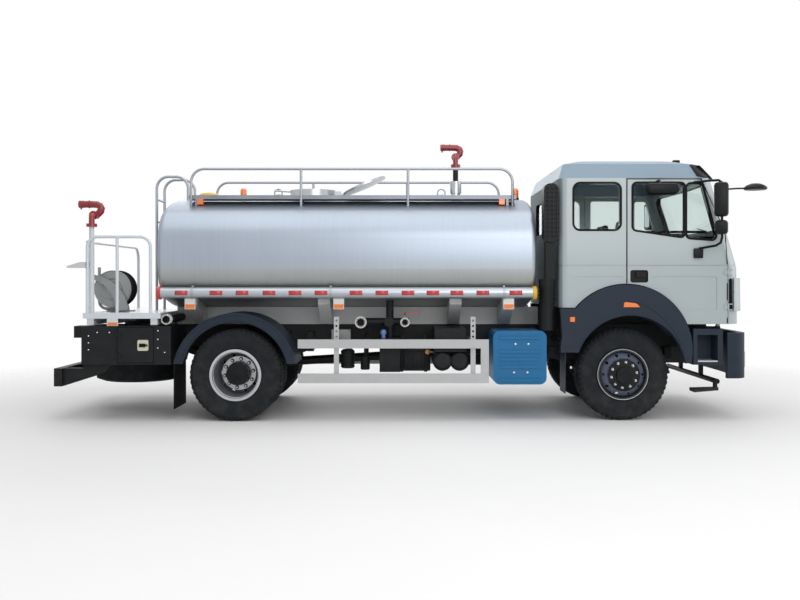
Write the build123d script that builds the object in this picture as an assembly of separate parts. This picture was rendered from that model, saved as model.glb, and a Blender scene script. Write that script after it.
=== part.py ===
import math
import os

from build123d import *

# Water tanker truck. Millimetres: X forward, Y left, Z up, ground at Z = 0.

# Main layout
WHEELBASE = 4500
FRONT_REACH = 1620  # front axle to the tip of the front mirror
REAR_OVERHANG = 2104  # rear axle to the back of the underrun bar
FRONT_X = (WHEELBASE + REAR_OVERHANG - FRONT_REACH) / 2
REAR_X = FRONT_X - WHEELBASE
BODY_HALF = 1250
SEAT_GAP = 0.3  # between seated or bolted pieces
MOVE_GAP = 6  # between moving panels and what they pass
PIN_GAP = 0.3  # radial play at pins and spindles

# Wheels
TYRE_RADIUS = 535
TYRE_HALF = 140
TREAD_HALF = 108
BULGE_RADIUS = 450
BEAD_HALF = 112
RIM_RADIUS = 300
RIM_HALF = 128
BARREL_RADIUS = 270
AXLE_Z = TYRE_RADIUS
FRONT_TRACK_HALF = BODY_HALF - 240
KINGPIN_HALF = FRONT_TRACK_HALF - 95
REAR_TRACK_HALF = BODY_HALF - 320  # centre of a twin pair
TWIN_HALF = 160
FRONT_SPINDLE = 45
REAR_SPINDLE = 50

# Chassis frame
RAIL_OUT = 430
RAIL_HEIGHT = 280
RAIL_TOP = 1090
RAIL_BOTTOM = RAIL_TOP - RAIL_HEIGHT
RAIL_FLANGE = 85
RAIL_WEB = 9
RAIL_REAR = REAR_X - 1772
RAIL_FRONT = FRONT_X + 1208
CROSS_OFFSETS = [-1700, -900, 900, 2300, 3300]  # from the rear axle

# Tank
TANK_REAR = REAR_X - 849
TANK_FRONT = FRONT_X - 1075
TANK_HALF = BODY_HALF - 50
TANK_TOP = 2660
TANK_BOTTOM = 1280
TANK_SHOULDER = TANK_HALF - 50  # half width where crown and side meet
CROWN_DROP = 294
BELLY_RISE = 194
TANK_CORNER = 420
HEAD_BULGE = 70
MANHOLE_X = REAR_X + 782
MANHOLE_RADIUS = 295
MANHOLE_TOP = 2783
MANHOLE_DEPTH = 280

# Cab
CAB_REAR = FRONT_X - 752
CAB_HALF = BODY_HALF - 30
CAB_WALL = 60
CAB_BOTTOM = 1126
CAB_REAR_BOTTOM = 1316
CAB_GUTTER = 2815
CAB_BACK_DEPTH = 140  # back panel takes the rounded corners
DOOR_REAR = FRONT_X + 24
DOOR_FRONT = FRONT_X + 1195
GLASS_INSET = 22
GLASS_THICK = 8
FLARE_X = FRONT_X + 19
FLARE_Z = 824
FLARE_RADIUS = 760
ARCH_X = FRONT_X + 65
ARCH_Z = 592
ARCH_RADIUS = 633
DOOR_HINGE_Y = CAB_HALF + 6
DOOR_HINGES = [1300, 1700]
FLARE_PROUD = 30
FLARE_TAIL = 800
FLARE_TIP = 675
LINER_THICK = 16
FLOOR_THICK = 40
DOOR_SWEEP = 150


def block(x0, x1, y0, y1, z0, z1):
    centre = Pos((x0 + x1) / 2, (y0 + y1) / 2, (z0 + z1) / 2)
    return centre * Box(x1 - x0, y1 - y0, z1 - z0)


def outline(points, radius=0):
    face = Polygon(*points, align=None)
    if radius:
        face = fillet(face.vertices(), radius)
    return face


def along_y(face, y0, y1):
    # A face drawn in X and Z becomes a slab from y0 to y1.
    plane = Plane((0, y1, 0), x_dir=(1, 0, 0), z_dir=(0, -1, 0))
    return extrude(plane * face, amount=y1 - y0, dir=(0, -1, 0))


def along_x(face, x0, x1):
    # A face drawn in Y and Z becomes a slab from x0 to x1.
    plane = Plane((x0, 0, 0), x_dir=(0, 1, 0), z_dir=(1, 0, 0))
    return extrude(plane * face, amount=x1 - x0, dir=(1, 0, 0))


def along_z(face, z0, z1):
    return extrude(Pos(0, 0, z0) * face, amount=z1 - z0, dir=(0, 0, 1))


def rod(start, end, radius):
    path = Line(start, end)
    return sweep(Plane(path @ 0, z_dir=path % 0) * Circle(radius), path)


def tube(points, radius, bend):
    path = FilletPolyline(*points, radius=bend)
    return sweep(Plane(path @ 0, z_dir=path % 0) * Circle(radius), path)


def disc_at(x, z, radius):
    return Pos(x, z) * Circle(radius)


def turned(points):
    # A profile of radius and offset along Y, turned about the Y axis.
    return revolve(outline(points), Axis.Y)


def left(shape):
    return mirror(shape, about=Plane.XZ)


def pair(shape):
    return [shape, left(shape)]


def fuse(*shapes):
    total = shapes[0]
    for shape in shapes[1:]:
        total = total + shape
    return total


HINGE_BARREL = 10
HINGE_LENGTH = 50
HINGE_EAR = 12
HINGE_END = 1
PANEL_PIN = 5


def panel_hinge(x, y, z, fixed_leaf, moving_leaf):
    # A butt hinge with an upright pin. Each leaf is x0, x1, y0, y1.
    top = z + HINGE_LENGTH
    fixed = along_z(disc_at(x, y, PANEL_PIN), z - HINGE_END - HINGE_EAR, top + HINGE_END + HINGE_EAR)
    for ear in (z - HINGE_END - HINGE_EAR, top + HINGE_END):
        fixed = fixed + along_z(disc_at(x, y, HINGE_BARREL), ear, ear + HINGE_EAR)
        fixed = fixed + block(*fixed_leaf, ear, ear + HINGE_EAR)
    moving = along_z(disc_at(x, y, HINGE_BARREL), z, top) + block(*moving_leaf, z, top)
    bore = along_z(disc_at(x, y, PANEL_PIN + PIN_GAP), z - 5, top + 5)
    return fixed, moving, bore


# Frame and running gear
CAB_PIVOT_X = FRONT_X + 1358
CAB_PIVOT_Z = 1040
PIVOT_PIN = 14
PIVOT_EYE = 30
PIVOT_IN = 355
PIVOT_OUT = 405
REST_GAP = 6


def chassis_frame():
    z0 = RAIL_BOTTOM
    z1 = RAIL_TOP
    web = outline([
        (-RAIL_OUT, z0), (-RAIL_OUT, z1), (-RAIL_OUT + RAIL_FLANGE, z1),
        (-RAIL_OUT + RAIL_FLANGE, z1 - RAIL_WEB), (-RAIL_OUT + RAIL_WEB, z1 - RAIL_WEB),
        (-RAIL_OUT + RAIL_WEB, z0 + RAIL_WEB), (-RAIL_OUT + RAIL_FLANGE, z0 + RAIL_WEB),
        (-RAIL_OUT + RAIL_FLANGE, z0),
    ])
    solids = pair(along_x(web, RAIL_REAR, RAIL_FRONT))
    reach = RAIL_OUT - RAIL_WEB - SEAT_GAP
    for along in CROSS_OFFSETS:
        x = REAR_X + along
        solids.append(block(x - 50, x + 50, -reach, reach, z0 + 60, z1 - 40))
    y0 = RAIL_OUT + SEAT_GAP
    cheek = outline([
        (RAIL_FRONT - 160, 950), (RAIL_FRONT - 20, 950), (CAB_PIVOT_X + 20, CAB_PIVOT_Z - 30),
        (CAB_PIVOT_X + 20, CAB_PIVOT_Z + 22), (CAB_PIVOT_X - 40, CAB_PIVOT_Z + 22), (RAIL_FRONT - 160, 1070),
    ])
    bracket = along_y(cheek, -y0 - 16, -y0)
    bracket = bracket + rod((CAB_PIVOT_X, -y0 - 8, CAB_PIVOT_Z), (CAB_PIVOT_X, -PIVOT_IN + 10, CAB_PIVOT_Z), PIVOT_PIN)
    rest = block(CAB_REAR + 70, CAB_REAR + 150, -RAIL_OUT, -RAIL_OUT + RAIL_FLANGE, z1 + SEAT_GAP,
                 CAB_REAR_BOTTOM - REST_GAP)
    return solids + pair(bracket) + pair(rest)


ENGINE_REAR = FRONT_X - 150
ENGINE_FRONT = FRONT_X + 950
ENGINE_HALF = 330
ENGINE_BOTTOM = 600
ENGINE_TOP = 1270
GEARBOX_REAR = FRONT_X - 900
SHAFT_RADIUS = 55


def powertrain():
    engine = block(ENGINE_REAR, ENGINE_FRONT, -ENGINE_HALF, ENGINE_HALF, ENGINE_BOTTOM, ENGINE_TOP)
    gearbox = block(GEARBOX_REAR, ENGINE_REAR, -220, 220, 640, 1060)
    side = RAIL_OUT - RAIL_FLANGE - SEAT_GAP
    for x in (ENGINE_REAR + 150, ENGINE_FRONT - 200):
        engine = engine + block(x, x + 90, -side, side, RAIL_BOTTOM - 60, RAIL_BOTTOM + 20)
    radiator = block(ENGINE_FRONT + 60, ENGINE_FRONT + 140, -side, side, 700, 1250)
    return [engine + gearbox, radiator]


BEAM_TOP = 490
BEAM_DEPTH = 100
BOSS_RADIUS = 62
BOSS_BOTTOM = 480
BOSS_TOP = 590
KINGPIN_RADIUS = 25
EAR_THICK = 46


def front_axle():
    k = KINGPIN_HALF
    flat = k - 355
    beam = outline([
        (-k, BOSS_TOP), (-k + 60, BOSS_TOP), (-flat, BEAM_TOP), (flat, BEAM_TOP), (k - 60, BOSS_TOP), (k, BOSS_TOP),
        (k, BOSS_BOTTOM), (k - 60, BOSS_BOTTOM), (flat, BEAM_TOP - BEAM_DEPTH),
        (-flat, BEAM_TOP - BEAM_DEPTH), (-k + 60, BOSS_BOTTOM), (-k, BOSS_BOTTOM),
    ])
    axle = along_x(beam, FRONT_X - 45, FRONT_X + 45)
    for y in (-k, k):
        axle = axle + along_z(disc_at(FRONT_X, y, BOSS_RADIUS), BOSS_BOTTOM, BOSS_TOP)
    for y in (-k, k):
        axle = axle - along_z(disc_at(FRONT_X, y, KINGPIN_RADIUS + PIN_GAP), BOSS_BOTTOM - 10, BOSS_TOP + 10)
    return [axle]


def knuckle_right():
    y = -KINGPIN_HALF
    face = -FRONT_TRACK_HALF + MOVE_GAP
    low = BOSS_BOTTOM - MOVE_GAP - EAR_THICK
    high = BOSS_TOP + MOVE_GAP + EAR_THICK
    plate = block(FRONT_X - 65, FRONT_X + 65, face, y - BOSS_RADIUS - MOVE_GAP, low, high)
    pin = along_z(disc_at(FRONT_X, y, KINGPIN_RADIUS), low, high)
    solid = plate + pin
    for z in (low, high - EAR_THICK):
        ear = along_z(disc_at(FRONT_X, y, BOSS_RADIUS), z, z + EAR_THICK)
        neck = block(FRONT_X - 60, FRONT_X + 60, face, y, z, z + EAR_THICK)
        solid = solid + ear + neck
    end = -FRONT_TRACK_HALF - 160
    return solid + rod((FRONT_X, face, AXLE_Z), (FRONT_X, end, AXLE_Z), FRONT_SPINDLE)


HOUSING_RADIUS = 85
HOUSING_HALF = REAR_TRACK_HALF - 330
DIFF_RADIUS = 210


def rear_axle():
    housing = rod((REAR_X, -HOUSING_HALF, AXLE_Z), (REAR_X, HOUSING_HALF, AXLE_Z), HOUSING_RADIUS)
    diff = Pos(REAR_X, 0, AXLE_Z) * Sphere(DIFF_RADIUS)
    end = REAR_TRACK_HALF + 95
    spindle = rod((REAR_X, -end, AXLE_Z), (REAR_X, end, AXLE_Z), REAR_SPINDLE)
    shaft = rod((REAR_X, 0, AXLE_Z + 25), (GEARBOX_REAR + 50, 0, 780), SHAFT_RADIUS)
    shaft = shaft - block(GEARBOX_REAR - SEAT_GAP, ENGINE_REAR, -220, 220, 600, 1060)
    return [fuse(housing, diff, spindle, shaft)]


# Leaf packs: axle x, inner y, outer y, seat z, thickness, half length, eye z, hanger top
SPRINGS = [
    dict(x=FRONT_X, y0=385, y1=475, seat=BEAM_TOP, thick=90, half=720, eye=690, hang=RAIL_BOTTOM),
    dict(x=REAR_X, y0=RAIL_OUT, y1=550, seat=AXLE_Z + HOUSING_RADIUS, thick=110, half=800, eye=780, hang=1000),
]


def leaf_springs():
    solids = []
    for s in SPRINGS:
        x = s["x"]
        low = s["seat"] + SEAT_GAP
        top = low + s["thick"]
        half = s["half"]
        eye = s["eye"]
        edges = [
            ThreePointArc((x - half, eye), (x, low), (x + half, eye)),
            Line((x + half, eye), (x + half, eye + 30)),
            ThreePointArc((x + half, eye + 30), (x, top), (x - half, eye + 30)),
            Line((x - half, eye + 30), (x - half, eye)),
        ]
        y0 = s["y0"] + SEAT_GAP
        pack = along_y(make_face(edges), -s["y1"], -y0)
        for end in (x - half, x + half):
            pack = pack + block(end - 40, end + 40, -s["y1"], -y0, eye - 20, s["hang"] - SEAT_GAP)
        solids += pair(pack)
    return solids


def tyre_profile(offset):
    bore = RIM_RADIUS + SEAT_GAP
    return [
        (bore, offset - BEAD_HALF), (BULGE_RADIUS, offset - TYRE_HALF), (TYRE_RADIUS, offset - TREAD_HALF),
        (TYRE_RADIUS, offset + TREAD_HALF), (BULGE_RADIUS, offset + TYRE_HALF), (bore, offset + BEAD_HALF),
    ]


def front_tyre_right():
    return Pos(FRONT_X, -FRONT_TRACK_HALF, AXLE_Z) * turned(tyre_profile(0))


def rear_tyres_right():
    solids = [turned(tyre_profile(y)) for y in (-TWIN_HALF, TWIN_HALF)]
    return [Pos(REAR_X, -REAR_TRACK_HALF, AXLE_Z) * s for s in solids]


FRONT_HOLES = 228
REAR_HOLES = 213
HAND_HOLES = 10


def hand_holes(ring, radius, y0, y1):
    holes = [along_y(place * Circle(radius), y0, y1) for place in PolarLocations(ring, HAND_HOLES)]
    return fuse(*holes)


def front_rim_right():
    bore = FRONT_SPINDLE + PIN_GAP
    profile = [
        (bore, 0), (110, 0), (110, 160), (205, 142), (256, 50), (BARREL_RADIUS, -RIM_HALF),
        (RIM_RADIUS, -RIM_HALF), (RIM_RADIUS, RIM_HALF), (BARREL_RADIUS + 2, RIM_HALF), (266, 70),
        (180, 186), (96, 190), (93, 232), (0, 232), (0, 166), (bore, 166),
    ]
    rim = turned([(r, -u) for r, u in profile]) - hand_holes(FRONT_HOLES, 17, -230, 20)
    return Pos(FRONT_X, -FRONT_TRACK_HALF, AXLE_Z) * rim


def rear_rims_right():
    bore = REAR_SPINDLE + PIN_GAP
    outer = TWIN_HALF + RIM_HALF
    inner = TWIN_HALF - RIM_HALF
    profile = [
        (bore, -200), (120, -200), (120, -16), (240, -16), (BARREL_RADIUS, -outer), (RIM_RADIUS, -outer),
        (RIM_RADIUS, -inner), (264, -10), (264, 10), (RIM_RADIUS, inner), (RIM_RADIUS, outer),
        (BARREL_RADIUS, outer), (240, 24), (139, 24), (134, 150), (0, 160), (0, 101), (bore, 101),
    ]
    rim = turned([(r, -u) for r, u in profile]) - hand_holes(REAR_HOLES, 22, -60, 60)
    return Pos(REAR_X, -REAR_TRACK_HALF, AXLE_Z) * rim


SPARE_X = REAR_X - 1442
SPARE_Z = 506


def spare_wheel():
    lying = Pos(SPARE_X, 0, SPARE_Z) * Rot(90, 0, 0)
    tyre = lying * turned(tyre_profile(0))
    disc = lying * turned([(0, -20), (RIM_RADIUS, -RIM_HALF), (RIM_RADIUS, RIM_HALF), (0, 20)])
    top = RAIL_BOTTOM - SEAT_GAP
    carrier = block(SPARE_X - 60, SPARE_X + 60, -60, 60, SPARE_Z + 10, top)
    cross = block(SPARE_X - 60, SPARE_X + 60, -RAIL_OUT, RAIL_OUT, top - 40, top)
    return [tyre, fuse(disc, carrier, cross)]


# Tank and what it carries

def tank_section(grow):
    a = TANK_SHOULDER + grow
    top = TANK_TOP + grow
    low = TANK_BOTTOM - grow
    mid = (TANK_TOP + TANK_BOTTOM) / 2
    high_corner = top - CROWN_DROP
    low_corner = low + BELLY_RISE
    half = TANK_HALF + grow
    edges = [
        ThreePointArc((-a, high_corner), (0, top), (a, high_corner)),
        ThreePointArc((a, high_corner), (half, mid), (a, low_corner)),
        ThreePointArc((a, low_corner), (0, low), (-a, low_corner)),
        ThreePointArc((-a, low_corner), (-half, mid), (-a, high_corner)),
    ]
    face = make_face(edges)
    return fillet(face.vertices(), TANK_CORNER)


def tank_space():
    # The tank's outer form with the seating gap, to cut what stands on it.
    return along_x(tank_section(SEAT_GAP), TANK_REAR - HEAD_BULGE, TANK_FRONT + HEAD_BULGE)


def tank_shell():
    body = along_x(tank_section(0), TANK_REAR - HEAD_BULGE, TANK_FRONT + HEAD_BULGE)
    ends = body.faces().filter_by(GeomType.PLANE).edges()
    body = fillet(ends, HEAD_BULGE)
    well = along_z(disc_at(MANHOLE_X, 0, MANHOLE_RADIUS - 40), TANK_TOP - MANHOLE_DEPTH, TANK_TOP + 50)
    return [body - well]


SUB_IN = 380
SUB_OUT = 470
SUB_REAR = TANK_REAR - 3
SUB_FRONT = TANK_FRONT + 183
SUB_BOTTOM = RAIL_TOP + SEAT_GAP
SADDLE_XS = [REAR_X - 552, REAR_X + 1008, REAR_X + 2558, REAR_X + 3178]
SADDLE_HALF = 70
SADDLE_REACH = TANK_HALF - 180


def tank_subframe(space):
    solids = []
    for side in (-1, 1):
        y0, y1 = sorted((side * SUB_IN, side * SUB_OUT))
        beam = block(SUB_REAR, SUB_FRONT, y0, y1, SUB_BOTTOM, TANK_BOTTOM + 25)
        reach = side * SADDLE_REACH
        root = side * SUB_OUT
        gusset = outline([
            (root, SUB_BOTTOM + 10), (root, TANK_BOTTOM + 60), (reach, TANK_BOTTOM + 170),
            (reach, TANK_BOTTOM + 70), (root + side * 120, SUB_BOTTOM + 10),
        ])
        for x in SADDLE_XS:
            beam = beam + along_x(gusset, x - SADDLE_HALF, x + SADDLE_HALF)
        solids.append(beam - space)
    return solids


TUBE_RADIUS = 67
TUBE_Y = BODY_HALF - 67
TUBE_Z = 1487
STRAP_XS = [REAR_X - 500, REAR_X + 1100, REAR_X + 3110]


def hose_tubes(space):
    barrel = rod((TANK_REAR - 57, -TUBE_Y, TUBE_Z), (TANK_FRONT + 58, -TUBE_Y, TUBE_Z), TUBE_RADIUS)
    for x in STRAP_XS:
        barrel = barrel + block(x - 20, x + 20, -TUBE_Y, -TUBE_Y + 133, TUBE_Z - 30, TUBE_Z + 30)
    return pair(barrel - space)


PLANK_REAR = TANK_REAR + 206
PLANK_FRONT = TANK_FRONT - 119
PLANK_IN = 500
PLANK_OUT = 770
PLANK_BOTTOM = 2611
PLANK_TOP = 2659
RAIL_Y = 777
RAIL_Z = 2974
RAIL_R = 16
RAIL_BEND = 160
POST_XS = [REAR_X + 712, REAR_X + 2000]


def catwalk(space):
    deck = block(PLANK_REAR, PLANK_FRONT, -PLANK_OUT, -PLANK_IN, PLANK_BOTTOM, PLANK_TOP)
    rear = PLANK_REAR + 31
    front = PLANK_FRONT - 48
    foot = PLANK_BOTTOM - 120
    hoop = tube([(rear, -RAIL_Y, foot), (rear, -RAIL_Y, RAIL_Z), (front, -RAIL_Y, RAIL_Z), (front, -RAIL_Y, foot)],
                RAIL_R, RAIL_BEND)
    deck = deck + hoop
    for x in POST_XS:
        deck = deck + rod((x, -RAIL_Y, foot), (x, -RAIL_Y, RAIL_Z), RAIL_R)
    for x in [rear + 60] + POST_XS + [front - 60]:
        deck = deck + block(x - 15, x + 15, -PLANK_OUT, -PLANK_IN - 40, foot, PLANK_BOTTOM + 5)
    deck = deck - space
    return pair(deck)


LADDER_X = TANK_REAR - 333
LADDER_HALF = 190
LADDER_R = 17
LADDER_TOP = 2946
RUNG_STEP = 280
DECK_TOP = 1256


def ladder(space):
    frame = None
    for y in (-LADDER_HALF, LADDER_HALF):
        stile = tube([(LADDER_X, y, DECK_TOP + SEAT_GAP), (LADDER_X, y, LADDER_TOP),
                      (TANK_REAR + 64, y, LADDER_TOP), (TANK_REAR + 64, y, TANK_TOP - 60)], LADDER_R, 150)
        frame = stile if frame is None else frame + stile
    z = DECK_TOP + RUNG_STEP
    while z < TANK_TOP:
        frame = frame + rod((LADDER_X, -LADDER_HALF, z), (LADDER_X, LADDER_HALF, z), 14)
        z += RUNG_STEP
    return [frame - space]


DECK_REAR = REAR_X - 1759
DECK_FRONT = SUB_REAR - 10
DECK_HALF = BODY_HALF - 20
DECK_THICK = 66
GUARD_Y = DECK_HALF - 18
GUARD_Z = 2136
GUARD_R = 18
RISER_X = REAR_X - 1692
RISER_Y = -GUARD_Y + 92
RISER_TOP = 2275


def rear_deck():
    plate = block(DECK_REAR, DECK_FRONT, -DECK_HALF, DECK_HALF, DECK_TOP - DECK_THICK, DECK_TOP)
    for x in (DECK_REAR + 40, DECK_FRONT - 120):
        plate = plate + block(x, x + 80, -DECK_HALF + 20, DECK_HALF - 20, DECK_TOP - 140, DECK_TOP - DECK_THICK)
        plate = plate + block(x, x + 80, -RAIL_OUT, RAIL_OUT, RAIL_TOP + SEAT_GAP, DECK_TOP - DECK_THICK)
    rear = DECK_REAR + 47
    front = DECK_REAR + 777
    foot = DECK_TOP - 10
    hoop = tube([(rear, -GUARD_Y, foot), (rear, -GUARD_Y, GUARD_Z), (front, -GUARD_Y, GUARD_Z), (front, -GUARD_Y, foot)],
                GUARD_R, 120)
    end = GUARD_Y - 372
    cross = tube([(rear, -GUARD_Y, GUARD_Z - 60), (rear, end, GUARD_Z - 60), (rear, end, foot)], GUARD_R, 160)
    middle = rod((rear + 345, -GUARD_Y, foot), (rear + 345, -GUARD_Y, GUARD_Z), GUARD_R)
    riser = rod((RISER_X, RISER_Y, foot), (RISER_X, RISER_Y, RISER_TOP - 10), 30)
    flange = rod((RISER_X, RISER_Y, RISER_TOP - 20), (RISER_X, RISER_Y, RISER_TOP), 62)
    return [fuse(plate, hoop, cross, middle, riser, flange)]


REEL_X = REAR_X - 1504
REEL_Z = 1530
REEL_RADIUS = 220
REEL_OUT = -DECK_HALF + 280
REEL_IN = REEL_OUT + 260
REEL_SHAFT = 30


def hose_reel():
    y0 = REEL_OUT
    y1 = REEL_IN
    profile = [
        (REEL_SHAFT + PIN_GAP, y0), (REEL_RADIUS, y0), (REEL_RADIUS, y0 + 14), (170, y0 + 14),
        (170, y1 - 14), (REEL_RADIUS, y1 - 14), (REEL_RADIUS, y1), (REEL_SHAFT + PIN_GAP, y1),
    ]
    return Pos(REEL_X, 0, REEL_Z) * turned(profile)


def reel_stand():
    low = DECK_TOP + SEAT_GAP
    y = REEL_IN + MOVE_GAP
    foot = block(REEL_X - 160, REEL_X + 160, y, y + 130, low, low + 12)
    post = along_y(outline([(REEL_X - 120, low), (REEL_X + 120, low), (REEL_X + 50, REEL_Z + 50), (REEL_X - 50, REEL_Z + 50)]), y, y + 40)
    shaft = rod((REEL_X, y + 20, REEL_Z), (REEL_X, REEL_OUT - 25, REEL_Z), REEL_SHAFT)
    cap = rod((REEL_X, REEL_OUT - MOVE_GAP, REEL_Z), (REEL_X, REEL_OUT - 30, REEL_Z), 60)
    guide = tube([(REEL_X, y + 20, low + 20), (REEL_X - 250, y + 20, low + 40), (REEL_X - 250, y + 20, REEL_Z + 260)], 18, 90)
    return [fuse(foot, post, shaft, cap, guide)]


# Manhole, vent, lifting eyes and the front cannon's riser
HINGE_X = MANHOLE_X + 335
HINGE_Z = 2757
HINGE_PIN = 10
LID_RADIUS = 292
LID_THICK = 26
LID_GAP = 5
LID_OPEN = 157  # degrees from shut, as it lies in the photograph
CANNON_X = FRONT_X - 1881
CANNON_Z = 3105
EYE_XS = [REAR_X + 335, REAR_X + 2435]
EYE_TALL = 75
LATCH_REACH = 500
VENT_X = REAR_X - 540
DOME_RADIUS = 300
DOME_TALL = 56


def top_fittings(space):
    neck = along_z(disc_at(MANHOLE_X, 0, MANHOLE_RADIUS), TANK_TOP - 40, MANHOLE_TOP)
    for y in (-52, 30):
        neck = neck + block(HINGE_X - 90, HINGE_X + 18, y, y + 22, HINGE_Z - 50, HINGE_Z + 16)
    neck = neck - along_z(disc_at(MANHOLE_X, 0, MANHOLE_RADIUS - 40), TANK_TOP - 100, MANHOLE_TOP + 10)
    neck = neck + rod((HINGE_X, -52, HINGE_Z), (HINGE_X, 52, HINGE_Z), HINGE_PIN)
    latch = rod((MANHOLE_X - MANHOLE_RADIUS + 10, 0, MANHOLE_TOP - 10), (MANHOLE_X - LATCH_REACH, 0, MANHOLE_TOP + 6), 12)
    neck = neck + latch
    dome = Sphere(DOME_RADIUS) & Pos(0, 0, DOME_RADIUS) * Box(3 * DOME_RADIUS, 3 * DOME_RADIUS, 2 * DOME_TALL)
    vent = Pos(VENT_X, 0, TANK_TOP + DOME_TALL - DOME_RADIUS) * dome
    riser = fuse(
        along_z(disc_at(CANNON_X, 0, 62), TANK_TOP - 30, TANK_TOP + 92),
        along_z(disc_at(CANNON_X, 0, 75), TANK_TOP + 92, TANK_TOP + 243),
        along_z(disc_at(CANNON_X, 0, 34), TANK_TOP + 243, CANNON_Z - 10),
        along_z(disc_at(CANNON_X, 0, 62), CANNON_Z - 25, CANNON_Z),
    )
    solids = [neck - space, vent - space, riser - space]
    for x in EYE_XS:
        low = TANK_TOP - 20
        high = TANK_TOP + EYE_TALL
        eye = tube([(x - 50, 0, low), (x - 50, 0, high), (x + 50, 0, high), (x + 50, 0, low)], 9, 40)
        solids.append(eye - space)
    return solids


def manhole_lid():
    low = MANHOLE_TOP + LID_GAP
    lid = along_z(disc_at(MANHOLE_X, 0, LID_RADIUS), low, low + LID_THICK)
    arm = block(MANHOLE_X + 200, HINGE_X + 18, -24, 24, HINGE_Z - 14, low + LID_THICK)
    clear = along_z(disc_at(MANHOLE_X, 0, MANHOLE_RADIUS + 2 * LID_GAP), HINGE_Z - 50, low)
    bore = rod((HINGE_X, -40, HINGE_Z), (HINGE_X, 40, HINGE_Z), HINGE_PIN + PIN_GAP)
    shut = lid + (arm - clear) - bore
    axis = Axis((HINGE_X, 0, HINGE_Z), (0, 1, 0))
    return shut.rotate(axis, LID_OPEN)


# Water cannons: base x, y, z
CANNONS = {
    "rear": (RISER_X, RISER_Y, RISER_TOP),
    "front": (CANNON_X, 0, CANNON_Z),
}
CANNON_R = 34
TURRET_RISE = 120
TRUNNION = 60
BARREL_RISE = 140
BARREL_SWING = 70


def turret(name):
    x, y, z = CANNONS[name]
    base = along_z(disc_at(x, y, 62), z + SEAT_GAP, z + 18)
    neck = tube([(x, y, z + 10), (x, y, z + TURRET_RISE), (x, y + TRUNNION, z + TURRET_RISE)], CANNON_R, 40)
    ring = rod((x, y + TRUNNION - 12, z + TURRET_RISE), (x, y + TRUNNION, z + TURRET_RISE), 52)
    return fuse(base, neck, ring)


def nozzle(name):
    x, y, z = CANNONS[name]
    start = y + TRUNNION + SEAT_GAP
    mid = start + 70
    h = z + TURRET_RISE
    ring = rod((x, start, h), (x, start + 12, h), 52)
    top = h + BARREL_RISE
    barrel = tube([(x, start + 5, h), (x, mid, h), (x + BARREL_SWING, mid, h + 60), (x + BARREL_SWING / 2, mid, top),
                   (x - 180, mid, top)], CANNON_R, 34)
    tip = rod((x - 140, mid, top), (x - 190, mid, top), 42)
    stop = block(x - 178, x - 160, mid - 8, mid + 8, top - 60, top)
    return fuse(ring, barrel, tip, stop)


# Side equipment
BODY_FACE = BODY_HALF - 18
STORE_IN = BODY_FACE - 532
STORE_REAR = REAR_X - 1775
STORE_FRONT = REAR_X - 742
STORE_LOW = 657
STORE_TOP = 1104
LOCKER_REAR = REAR_X - 1365
LOCKER_FRONT = REAR_X - 938
LOCKER_LOW = 675
LOCKER_TOP = 1092
LOCKER_DEPTH = 450
HATCH_THICK = 14
LOCKER_HINGE_X = LOCKER_REAR + 3
LOCKER_HINGE_OUT = 11
LOCKER_HINGES = [LOCKER_LOW + 60, LOCKER_TOP - 110]


def rear_lockers():
    box = block(STORE_REAR, STORE_FRONT, -BODY_FACE, -STORE_IN, STORE_LOW, STORE_TOP)
    bearer = block(STORE_FRONT - 300, STORE_FRONT - 200, -STORE_IN, -RAIL_OUT - SEAT_GAP, STORE_TOP - 200, STORE_TOP - 60)
    rear_bearer = block(STORE_REAR + 230, STORE_REAR + 330, -STORE_IN, -RAIL_OUT - SEAT_GAP, STORE_TOP - 200, STORE_TOP - 60)
    box = fuse(box, bearer, rear_bearer)
    room = block(LOCKER_REAR, LOCKER_FRONT, -BODY_FACE - 5, -BODY_FACE + LOCKER_DEPTH, LOCKER_LOW, LOCKER_TOP)
    right = box - room
    for z in LOCKER_HINGES:
        right = right + locker_hinge(z)[0]
    return [right, left(box)]


def locker_hinge(z):
    y = -BODY_FACE - LOCKER_HINGE_OUT
    return panel_hinge(LOCKER_HINGE_X, y, z, (LOCKER_HINGE_X - 40, LOCKER_HINGE_X, y, -BODY_FACE + 2),
                       (LOCKER_HINGE_X, LOCKER_HINGE_X + 50, y, -BODY_FACE + 2))


def locker_door():
    door = block(LOCKER_REAR + MOVE_GAP, LOCKER_FRONT - MOVE_GAP, -BODY_FACE, -BODY_FACE + HATCH_THICK,
                 LOCKER_LOW + MOVE_GAP, LOCKER_TOP - MOVE_GAP)
    for z in LOCKER_HINGES:
        _, leaf, bore = locker_hinge(z)
        leaf = leaf - block(LOCKER_REAR - 60, LOCKER_REAR + MOVE_GAP, -BODY_FACE - 1, -BODY_FACE + 5, z - 5, z + 60)
        door = door + leaf - bore
    return door


BAR_REAR = REAR_X - REAR_OVERHANG
BAR_DEPTH = 95
BAR_HALF = BODY_HALF - 50
BAR_LOW = 403
BAR_TOP = 611


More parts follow.
